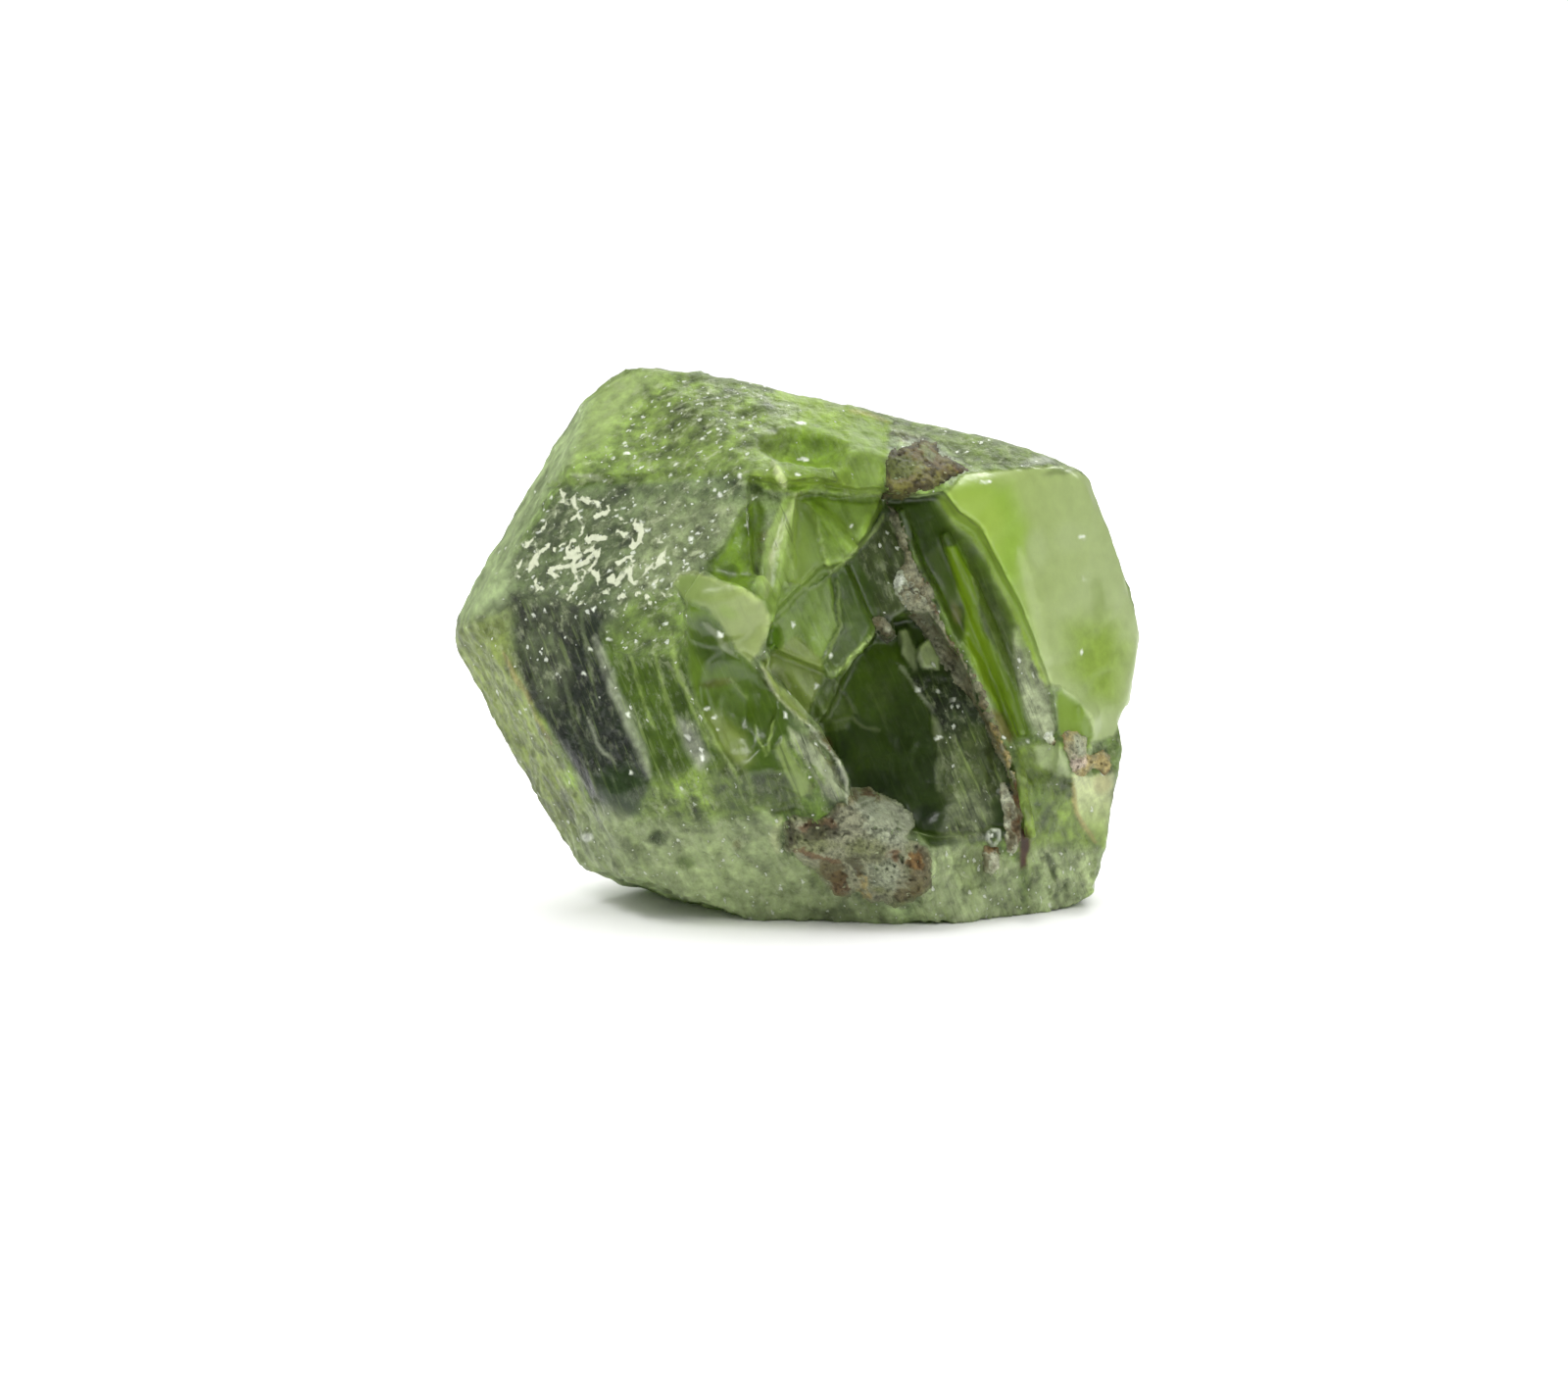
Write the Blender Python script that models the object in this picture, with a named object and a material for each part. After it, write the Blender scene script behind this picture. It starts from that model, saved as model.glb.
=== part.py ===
"""A rough peridot: one crystal fragment, with a frosted natural skin on its left and a deep, shelved break on its right.

The stone is laid out in millimetres as it is seen from the front: x to the right, z up, and y away from the eye.
It is then leaned back a little, its foot is ground flat where it rests, and it is scaled to metres.
"""

import math
import random

import bmesh
import bpy
from mathutils import Matrix, Vector, noise
from mathutils.bvhtree import BVHTree
from mathutils.geometry import delaunay_2d_cdt

# Driving dimensions, in millimetres and degrees
LEAN_BACK = 8.0
FOOT_FRONT = (0.0, -2.9, 0.2)
EDGE_WEAR = 0.25
SHORT_EDGE = 0.6
BLOCK_SIDE = 60.0
FRONT_LIMIT = -12.0
LIP_SPREAD = 0.12
LIP_RISE = 0.9
CRUST_ROOT = 0.8
ROUND_UNEVEN = 0.22
ROUND_LUMPS = 1.6
RIB_END = 0.45
MILLIMETRE = 0.001

PERIDOT_GREEN = (0.23, 0.38, 0.06, 1.0)

# Each face of the crystal: a point on it, and the way it looks
CRYSTAL_FACES = {
    "left_tip": ((-11.05, 0.0, 9.1), (-1.0, 0.0, 0.06)),
    "upper_left_band": ((-10.6, 0.0, 10.65), (-0.847, -0.21, 0.487)),
    "upper_left_back": ((-10.6, 0.0, 10.65), (-0.76, 0.50, 0.43)),
    "lower_left_band": ((-11.05, 0.0, 8.55), (-0.80, -0.36, -0.45)),
    "lower_left_back": ((-11.05, 0.0, 8.55), (-0.75, 0.50, -0.42)),
    "top_left_corner": ((-6.1, 0.0, 17.45), (-0.60, -0.15, 0.80)),
    "top_left": ((-3.5, -0.3, 17.52), (0.11, 0.12, 1.0)),
    "top_right": ((1.66, -0.9, 16.5), (0.245, 0.12, 1.0)),
    "top_skin": ((5.9, -1.7, 15.5), (0.36, -1.0, 1.7)),
    "upper_right_corner": ((8.7, 0.0, 14.85), (0.54, -0.25, 0.84)),
    "right_shoulder": ((9.4, 0.0, 14.1), (0.90, -0.20, 0.42)),
    "right_upper": ((10.35, 0.0, 11.5), (0.954, 0.0, 0.30)),
    "right_lower": ((10.42, 0.0, 5.9), (0.99, 0.0, -0.18)),
    "foot_corner": ((9.3, 0.0, 0.9), (0.74, 0.0, -0.68)),
    "left_foot_corner": ((-7.95, 0.0, 2.6), (-0.73, -0.10, -0.60)),
    "left_foot": ((-4.4, 0.0, 0.85), (-0.32, -0.10, -1.0)),
    "upper_front": ((-6.47, -4.2, 14.18), (-0.32, -1.0, 0.96)),
    "dark_face": ((-9.35, -3.1, 10.5), (-0.55, -1.0, 0.10)),
    "striated_face": ((-6.0, -5.1, 9.1), (-0.36, -1.0, 0.15)),
    "centre_front": ((-2.36, -6.7, 9.43), (0.05, -1.0, 0.12)),
    "upper_middle": ((0.17, -2.0, 16.8), (0.15, -1.0, 1.3)),
    "right_front": ((11.25, -0.3, 9.0), (0.82, -1.0, 0.10)),
    "right_low": ((8.6, -2.7, 5.2), (0.70, -1.0, -0.25)),
    "lower_front": ((-2.04, -2.9, 0.05), (-0.15, -1.0, -0.90)),
    "back": ((-1.0, 7.0, 9.0), (-0.05, 1.0, 0.06)),
    "back_left": ((-8.0, 4.5, 9.0), (-0.80, 1.0, 0.10)),
    "back_right": ((11.25, 0.9, 9.0), (0.75, 1.0, 0.05)),
    "back_top": ((0.0, 5.5, 14.6), (0.05, 1.0, 0.90)),
    "back_bottom": ((0.0, 5.8, 2.4), (-0.10, 1.0, -0.60)),
    "back_top_left": ((-6.0, 4.5, 14.0), (-0.50, 0.90, 0.60)),
    "back_low_left": ((-7.0, 4.6, 4.0), (-0.60, 0.90, -0.55)),
}

# Each shelf of the break: its outline as it is seen, a point on its floor, and how fast the floor falls back per
# millimetre to the right and up
SHELVES = {
    "frost_step": (
        [(-7.6, 14.05), (-6.8, 14.1), (-5.5, 14.1), (-4.3, 14.2), (-2.5, 14.4), (-1.6, 14.0), (-1.7, 12.0),
         (-2.8, 10.6), (-4.5, 10.2), (-6.3, 10.4)],
        (-4.0, -4.76, 14.2), (-0.36, 0.23),
    ),
    "upper_shard": (
        [(-1.6, 14.1), (-0.5, 13.8), (0.6, 13.9), (1.8, 13.7), (2.6, 13.7), (2.7, 13.1), (2.1, 12.3), (1.1, 11.1),
         (0.7, 9.5), (-0.5, 9.5), (-1.4, 10.7), (-1.3, 12.0)],
        (0.6, -4.4, 13.9), (0.25, 0.34),
    ),
    "middle_shard": (
        [(0.7, 11.2), (1.5, 11.5), (2.2, 10.7), (2.5, 9.1), (1.7, 8.1), (1.1, 7.9), (-0.8, 8.5), (-0.9, 9.5)],
        (1.0, -4.9, 9.5), (0.35, 0.28),
    ),
    "lower_shard": (
        [(-0.9, 8.7), (1.1, 7.9), (1.7, 8.1), (1.1, 6.9), (0.7, 6.2), (-0.5, 7.2)],
        (0.7, -5.0, 7.2), (0.35, 0.20),
    ),
    "slab": (
        [(2.6, 13.5), (3.4, 13.5), (3.5, 12.0), (3.8, 11.0), (4.4, 9.8), (3.2, 9.2), (2.5, 9.1), (1.8, 10.7),
         (1.5, 11.4), (2.1, 12.3)],
        (2.8, -3.6, 11.5), (0.10, 0.10),
    ),
    "hollow": (
        [(2.5, 9.5), (3.2, 9.7), (4.4, 9.9), (5.4, 8.2), (5.9, 7.2), (6.2, 6.5), (6.7, 5.5), (7.0, 4.4), (7.1, 3.2),
         (4.3, 2.9), (3.5, 3.1), (2.4, 3.6), (1.1, 4.7), (0.7, 6.3), (1.6, 8.0)],
        (3.5, -2.3, 6.5), (-0.05, 0.30),
    ),
    "right_cleft": (
        [(3.3, 13.5), (4.5, 13.5), (4.9, 12.9), (5.6, 12.5), (6.0, 11.7), (7.0, 9.9), (7.5, 8.7), (8.0, 7.4),
         (8.2, 5.8), (8.0, 4.7), (6.9, 4.5), (6.7, 5.5), (5.9, 7.2), (4.6, 9.5), (3.6, 12.0)],
        (6.0, -3.0, 9.5), (0.15, 0.05),
    ),
}

# Rounded bites out of the break: centre, half sizes, and how far each is rolled clockwise as it is seen
BITES = {
    "upper_bite": ((0.3, -4.7, 15.3), (1.7, 1.3, 1.0), 12.0),
    "upper_right_bite": ((2.1, -5.3, 14.6), (1.2, 1.2, 1.0), 10.0),
    "smooth_bowl": ((-2.0, -7.6, 7.2), (1.3, 1.6, 2.1), -12.0),
    "low_bowl": ((-4.4, -7.6, 3.6), (1.8, 1.6, 1.2), 20.0),
    "foot_pit": ((8.4, -3.9, 1.8), (0.45, 0.9, 0.75), 0.0),
    "edge_notch": ((11.5, 0.5, 6.0), (1.35, 4.0, 1.7), 0.0),
    "back_bite": ((4.6, 9.3, 12.2), (5.5, 3.4, 3.6), 25.0),
    "back_low_bite": ((-5.4, 8.6, 5.0), (4.2, 3.3, 3.0), -20.0),
}

# Rounded lobes that stand proud, given in the same way
LOBES = {
    "shell_lobe": ((-2.3, -6.15, 9.9), (1.4, 1.0, 1.15), -20.0),
    "edge_lobe": ((9.0, -2.0, 6.5), (0.55, 0.45, 0.9), -18.0),
    "nodule": ((6.2, -4.0, 1.9), (0.28, 0.5, 0.45), 0.0),
    "small_nodule": ((2.75, -3.4, 9.4), (0.3, 0.6, 0.35), 0.0),
}

# Narrow ribs: the points of each along its crest, half its width, and how deep it is rooted
RIBS = {
    "fan_rib_left": ([(-0.1, -4.9, 13.6), (-0.5, -5.7, 11.8), (-0.8, -6.3, 10.1)], 0.45, 1.0),
    "fan_rib_right": ([(-0.1, -4.9, 13.6), (0.9, -5.1, 12.6), (1.7, -5.2, 11.6)], 0.45, 1.0),
    "crest": ([(-1.3, -6.75, 8.4), (-0.5, -6.9, 7.3), (0.4, -7.05, 6.2), (1.1, -7.0, 5.1), (1.6, -6.6, 4.0)], 0.3, 1.4),
    "shard_rib_left": ([(-0.5, -6.7, 5.9), (0.0, -6.9, 4.9), (0.4, -6.4, 3.8)], 0.25, 1.2),
    "shard_rib_right": ([(0.2, -6.8, 6.0), (0.7, -6.9, 5.0), (1.0, -6.4, 3.9)], 0.22, 1.2),
    "host_vein": (
        [(3.2, -4.3, 13.1), (3.5, -4.0, 12.0), (3.9, -3.8, 11.0), (4.7, -3.5, 9.5), (5.5, -3.5, 8.2), (6.1, -3.6, 6.7),
         (6.7, -3.7, 5.5), (7.0, -4.2, 4.4), (7.3, -4.4, 2.8)],
        0.28, 1.3,
    ),
    "glowing_blade": ([(4.6, -3.7, 12.4), (5.4, -3.7, 10.7), (6.0, -3.6, 9.2), (6.6, -3.6, 7.6), (7.1, -3.7, 6.0)], 0.3, 1.0),
}

# Patches of host rock grown onto the stone: outline as it is seen, how far they stand proud, and their grain
CRUSTS = {
    "upper_patch": (
        [(2.6, 13.7), (2.9, 14.8), (3.2, 15.2), (3.8, 15.4), (4.5, 15.2), (5.4, 14.6), (4.6, 14.0), (3.8, 13.6),
         (2.9, 13.5)],
        0.35, 0.45,
    ),
    "lower_crust": (
        [(-0.5, 3.0), (-0.4, 3.6), (0.8, 3.5), (1.6, 3.9), (2.7, 4.2), (3.5, 3.8), (3.7, 3.0), (4.3, 2.3), (4.3, 1.2),
         (3.8, 0.5), (2.9, 1.1), (1.8, 1.9), (0.6, 2.0), (-0.3, 2.2)],
        0.45, 0.50,
    ),
    "right_blob": (
        [(8.0, 5.2), (8.2, 6.0), (8.9, 6.1), (9.4, 5.6), (9.3, 4.8), (8.7, 4.4), (8.1, 4.6)],
        0.40, 0.35,
    ),
    "white_flake": ([(3.1, 10.7), (3.3, 11.4), (3.9, 11.2), (4.3, 10.3), (3.8, 10.1)], 0.25, 0.40),
}


def closed_object(name, bm):
    """Turns a closed bmesh into an object with its faces looking out."""
    bmesh.ops.recalc_face_normals(bm, faces=bm.faces[:])
    mesh = bpy.data.meshes.new(name)
    bm.to_mesh(mesh)
    bm.free()
    obj = bpy.data.objects.new(name, mesh)
    bpy.context.scene.collection.objects.link(obj)
    return obj


def combine(stone, tool, operation):
    """Cuts the tool from the stone, or fuses it on, and removes the tool."""
    modifier = stone.modifiers.new(tool.name, "BOOLEAN")
    modifier.object = tool
    modifier.operation = operation
    modifier.solver = "EXACT"
    graph = bpy.context.evaluated_depsgraph_get()
    result = bpy.data.meshes.new_from_object(stone.evaluated_get(graph))
    stone.modifiers.clear()
    stone.data = result
    bpy.data.objects.remove(tool)


def cut_crystal():
    """A closed block cut down to what lies behind every crystal face, with its edges worn."""
    bm = bmesh.new()
    bmesh.ops.create_cube(bm, size=BLOCK_SIDE)
    for point, outward in CRYSTAL_FACES.values():
        cut_plane(bm, point, outward)
    bmesh.ops.remove_doubles(bm, verts=bm.verts[:], dist=SHORT_EDGE)
    bmesh.ops.recalc_face_normals(bm, faces=bm.faces[:])
    bmesh.ops.bevel(
        bm, geom=bm.edges[:], offset=EDGE_WEAR, segments=2, profile=0.5, affect="EDGES", clamp_overlap=True
    )
    return closed_object("peridot", bm)


def cut_plane(bm, point, outward):
    """Removes what lies outside the plane and closes the cut."""
    geometry = bm.verts[:] + bm.edges[:] + bm.faces[:]
    cut = bmesh.ops.bisect_plane(
        bm, geom=geometry, plane_co=Vector(point), plane_no=Vector(outward), clear_outer=True, dist=1e-6
    )
    rim = [g for g in cut["geom_cut"] if isinstance(g, bmesh.types.BMEdge)]
    if rim:
        bmesh.ops.edgenet_fill(bm, edges=rim)


def outward_offsets(outline):
    """For each point of a closed outline, the unit direction that leads out of it."""
    count = len(outline)
    area = sum(a[0] * b[1] - b[0] * a[1] for a, b in zip(outline, outline[1:] + outline[:1]))
    turn = 1.0 if area > 0 else -1.0
    offsets = []
    for index, (x, z) in enumerate(outline):
        before, after = outline[index - 1], outline[(index + 1) % count]
        along = Vector((after[0] - before[0], after[1] - before[1])).normalized()
        offsets.append((along.y * turn, -along.x * turn))
    return offsets


def shelf_cutter(name, outline, floor, fall):
    """A closed cutter whose back is the shelf's sloping floor and whose wall leans out towards the eye."""
    bm = bmesh.new()
    offsets = outward_offsets(outline)
    rings = []
    for spread, rise in ((0.0, 0.0), (LIP_SPREAD, LIP_RISE), (LIP_SPREAD, None)):
        ring = []
        for (x, z), (out_x, out_z) in zip(outline, offsets):
            depth = floor[1] + fall[0] * (x - floor[0]) + fall[1] * (z - floor[2])
            y = FRONT_LIMIT if rise is None else depth - rise
            ring.append(bm.verts.new((x + spread * out_x, y, z + spread * out_z)))
        rings.append(ring)
    close_rings(bm, rings)
    return closed_object(name, bm)


def close_rings(bm, rings):
    """Joins rings of points into one closed skin with a face at each end."""
    count = len(rings[0])
    for first, second in zip(rings, rings[1:]):
        for index in range(count):
            following = (index + 1) % count
            bm.faces.new((first[index], first[following], second[following], second[index]))
    bm.faces.new(rings[0])
    bm.faces.new(rings[-1])


def ellipsoid(name, centre, half_sizes, roll):
    """A rounded body for a bite or a lobe."""
    bm = bmesh.new()
    bmesh.ops.create_icosphere(bm, subdivisions=3, radius=1.0)
    for vert in bm.verts:
        vert.co *= 1.0 + ROUND_UNEVEN * noise.noise(vert.co * ROUND_LUMPS + Vector(centre))
    shape = Matrix.Translation(centre) @ Matrix.Rotation(math.radians(roll), 4, "Y") @ Matrix.Diagonal((*half_sizes, 1.0))
    bmesh.ops.transform(bm, matrix=shape, verts=bm.verts[:])
    return closed_object(name, bm)


def rib(name, crest, half_width, root):
    """A narrow ridge: its crest follows the points given and its root lies inside the stone."""
    bm = bmesh.new()
    rings = []
    for index, point in enumerate(crest):
        before, after = crest[max(index - 1, 0)], crest[min(index + 1, len(crest) - 1)]
        along = Vector((after[0] - before[0], 0.0, after[2] - before[2])).normalized()
        swell = RIB_END + (1.0 - RIB_END) * math.sin(math.pi * index / (len(crest) - 1))
        width = half_width * swell * (1.0 + ROUND_UNEVEN * noise.noise(Vector(point) * ROUND_LUMPS))
        across = Vector((-along.z, 0.0, along.x)) * width
        top = Vector(point)
        shoulder = top + Vector((0.0, width, 0.0))
        base = top + Vector((0.0, root, 0.0))
        ring = [top, shoulder + across, base + across, base - across, shoulder - across]
        rings.append([bm.verts.new(corner) for corner in ring])
    close_rings(bm, rings)
    return closed_object(name, bm)


def crust(name, stone, outline, rise, grain):
    """A rough patch that follows the surface under it, with a broken top and a root inside the stone."""
    chance = random.Random(name)
    surface = BVHTree.FromObject(stone, bpy.context.evaluated_depsgraph_get())
    points = [Vector(corner) for corner in outline]
    low_x, high_x = min(p.x for p in points), max(p.x for p in points)
    low_z, high_z = min(p.y for p in points), max(p.y for p in points)
    for column in range(int((high_x - low_x) / grain) + 1):
        for row in range(int((high_z - low_z) / grain) + 1):
            jitter = Vector((chance.uniform(0.2, 0.8), chance.uniform(0.2, 0.8)))
            points.append(Vector((low_x + (column + jitter.x) * grain, low_z + (row + jitter.y) * grain)))
    edges = [(index, (index + 1) % len(outline)) for index in range(len(outline))]
    flat, _, faces, origins, _, _ = delaunay_2d_cdt(points, edges, [], 1, 1e-4)
    bm = bmesh.new()
    tops, roots = [], []
    for place, origin in zip(flat, origins):
        hit = surface.ray_cast(Vector((place.x, FRONT_LIMIT, place.y)), Vector((0.0, 1.0, 0.0)))
        depth = hit[0].y
        on_rim = any(index < len(outline) for index in origin)
        lift = -0.1 if on_rim else rise * chance.uniform(0.6, 1.0)
        tops.append(bm.verts.new((place.x, depth - lift, place.y)))
        roots.append(bm.verts.new((place.x, depth + CRUST_ROOT, place.y)))
    rim_use = {}
    for face in faces:
        bm.faces.new([tops[index] for index in face])
        bm.faces.new([roots[index] for index in reversed(face)])
        for pair in zip(face, face[1:] + face[:1]):
            key = tuple(sorted(pair))
            rim_use[key] = rim_use.get(key, 0) + 1
    for (first, second), uses in rim_use.items():
        if uses == 1:
            bm.faces.new((tops[first], tops[second], roots[second], roots[first]))
    for vert in [v for v in bm.verts if not v.link_faces]:
        bm.verts.remove(vert)
    return closed_object(name, bm)


def keep_main_body(stone):
    """Drops the chips that a cut has freed and the skins of voids that a union has sealed."""
    bm = bmesh.new()
    bm.from_mesh(stone.data)
    waiting = set(bm.verts)
    bodies = []
    while waiting:
        body = {waiting.pop()}
        edge_of_search = list(body)
        while edge_of_search:
            vert = edge_of_search.pop()
            for link in vert.link_edges:
                other = link.other_vert(vert)
                if other in waiting:
                    waiting.remove(other)
                    body.add(other)
                    edge_of_search.append(other)
        bodies.append(body)
    largest = max(bodies, key=len)
    bmesh.ops.delete(bm, geom=[v for v in bm.verts if v not in largest], context="VERTS")
    bm.to_mesh(stone.data)
    bm.free()


def stand_on_foot(stone):
    """Leans the stone back, grinds its foot flat and sets it on z = 0, centred over the origin, in metres."""
    lean = Matrix.Rotation(-math.radians(LEAN_BACK), 4, "X")
    foot = lean @ Vector(FOOT_FRONT)
    bm = bmesh.new()
    bm.from_mesh(stone.data)
    bmesh.ops.transform(bm, matrix=lean, verts=bm.verts[:])
    cut_plane(bm, foot, (0.0, 0.0, -1.0))
    xs = [v.co.x for v in bm.verts]
    ys = [v.co.y for v in bm.verts]
    middle = Vector(((min(xs) + max(xs)) / 2, (min(ys) + max(ys)) / 2, foot.z))
    print("Middle of the stone before it is centred, mm:", *(round(value, 3) for value in middle))
    settle = Matrix.Scale(MILLIMETRE, 4) @ Matrix.Translation(-middle)
    bmesh.ops.transform(bm, matrix=settle, verts=bm.verts[:])
    bm.to_mesh(stone.data)
    bm.free()


def green_stone():
    """The peridot's own finish."""
    material = bpy.data.materials.new("peridot")
    material.use_nodes = True
    shader = material.node_tree.nodes["Principled BSDF"]
    shader.inputs["Base Color"].default_value = PERIDOT_GREEN
    shader.inputs["Roughness"].default_value = 0.35
    shader.inputs["Metallic"].default_value = 0.0
    return material


def main():
    for obj in list(bpy.data.objects):
        bpy.data.objects.remove(obj)
    stone = cut_crystal()
    for name, (outline, floor, fall) in SHELVES.items():
        combine(stone, shelf_cutter(name, outline, floor, fall), "DIFFERENCE")
    for name, (centre, half_sizes, roll) in BITES.items():
        combine(stone, ellipsoid(name, centre, half_sizes, roll), "DIFFERENCE")
    for name, (centre, half_sizes, roll) in LOBES.items():
        combine(stone, ellipsoid(name, centre, half_sizes, roll), "UNION")
    for name, (crest, half_width, root) in RIBS.items():
        combine(stone, rib(name, crest, half_width, root), "UNION")
    for name, (outline, rise, grain) in CRUSTS.items():
        combine(stone, crust(name, stone, outline, rise, grain), "UNION")
    keep_main_body(stone)
    stand_on_foot(stone)
    stone.data.materials.clear()
    stone.data.materials.append(green_stone())


main()
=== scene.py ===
"""A rough peridot: a broken green crystal with a frosted skin and grey-brown host rock left in its hollows."""
import math

import bpy
import numpy as np
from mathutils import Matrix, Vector
from mathutils.bvhtree import BVHTree


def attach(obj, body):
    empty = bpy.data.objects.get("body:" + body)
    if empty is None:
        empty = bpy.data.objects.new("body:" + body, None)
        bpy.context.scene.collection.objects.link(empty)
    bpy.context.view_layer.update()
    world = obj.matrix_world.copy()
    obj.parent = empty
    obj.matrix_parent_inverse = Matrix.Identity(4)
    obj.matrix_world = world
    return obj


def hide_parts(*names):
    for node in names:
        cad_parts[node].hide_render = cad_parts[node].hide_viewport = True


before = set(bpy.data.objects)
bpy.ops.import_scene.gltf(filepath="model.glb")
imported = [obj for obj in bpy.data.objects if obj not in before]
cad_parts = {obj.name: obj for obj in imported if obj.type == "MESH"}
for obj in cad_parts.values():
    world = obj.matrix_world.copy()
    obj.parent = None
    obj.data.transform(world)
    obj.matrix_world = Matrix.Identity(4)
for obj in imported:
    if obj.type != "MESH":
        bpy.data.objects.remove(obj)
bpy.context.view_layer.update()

bl_info = {
    "name": "Rough Peridot",
    "version": (1, 0, 0),
    "blender": (4, 5, 0),
    "location": "3D Viewport > Sidebar > Peridot",
    "description": "Makes a broken peridot crystal, the host rock on it, and a pale studio around it",
    "category": "Object",
}

# How the stone stands: it leans back by this angle, and this point of the seen layout is the middle of its foot
LEAN_BACK = math.radians(8.0)
FOOT_MIDDLE = np.array((-0.028, 1.011, 0.602))
MM = 0.001

# The picture that the layout is read from, and the eye that sees it so
PICTURE = (1600.0, 1421.0)
STONE_WIDTH_MM = 22.0
STONE_WIDTH_PX = 695.0
ORIGIN_PX = (814.5, 939.0)
MM_PER_PX = STONE_WIDTH_MM / STONE_WIDTH_PX
LENS = 100.0
SENSOR = 36.0
EYE_MM = np.array((
    (PICTURE[0] / 2 - ORIGIN_PX[0]) * MM_PER_PX,
    -LENS / SENSOR * PICTURE[0] * MM_PER_PX,
    (ORIGIN_PX[1] - PICTURE[1] / 2) * MM_PER_PX,
))
TRIANGLES = 190000

# The crystal's two grains, in degrees anticlockwise from the right, and the angle that parts them
RISING_GRAIN = 34.0
FALLING_GRAIN = -68.0
GRAIN_PARTING = -15.0

# What the crystal does to light: how it bends it, how glossy and smooth it is, and how fast it absorbs it
PERIDOT_IOR = 1.67
PERIDOT_GLOSS = 0.3
LEAST_ROUGH = 0.34
ABSORPTION = 110.0
ETCH_DEPTH = 0.14 * MM


def region(colour, outline, soft=6.0, clear=0.4, rough=0.35, flecks=0.0, grain=-65.0, mottle=0.4, lined=0.2,
           frost=0.3, shards=0.0, slope=(0.0, 0.0, 0.0), fade=None):
    """One region of the crystal's front, outlined in the picture's pixels.

    Its border is soft over so many pixels. clear, rough and flecks (of frost) go from 0 to 1, mottle and
    lined may go further. grain is an angle in degrees: its lines follow the one of the crystal's two grains
    on that side of the parting. frost and shards are how deep the etching and the splinters are, as shares of
    the stone's own sizes. slope is a direction in degrees and the height, in millimetres, where the region
    starts and where it ends that way. fade is a direction and the colour that it turns into that way.
    """
    return dict(colour=colour, outline=outline, soft=soft, clear=clear, rough=rough, flecks=flecks, grain=grain,
                mottle=mottle, lined=lined, frost=frost, shards=shards, slope=slope, fade=fade)


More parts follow.
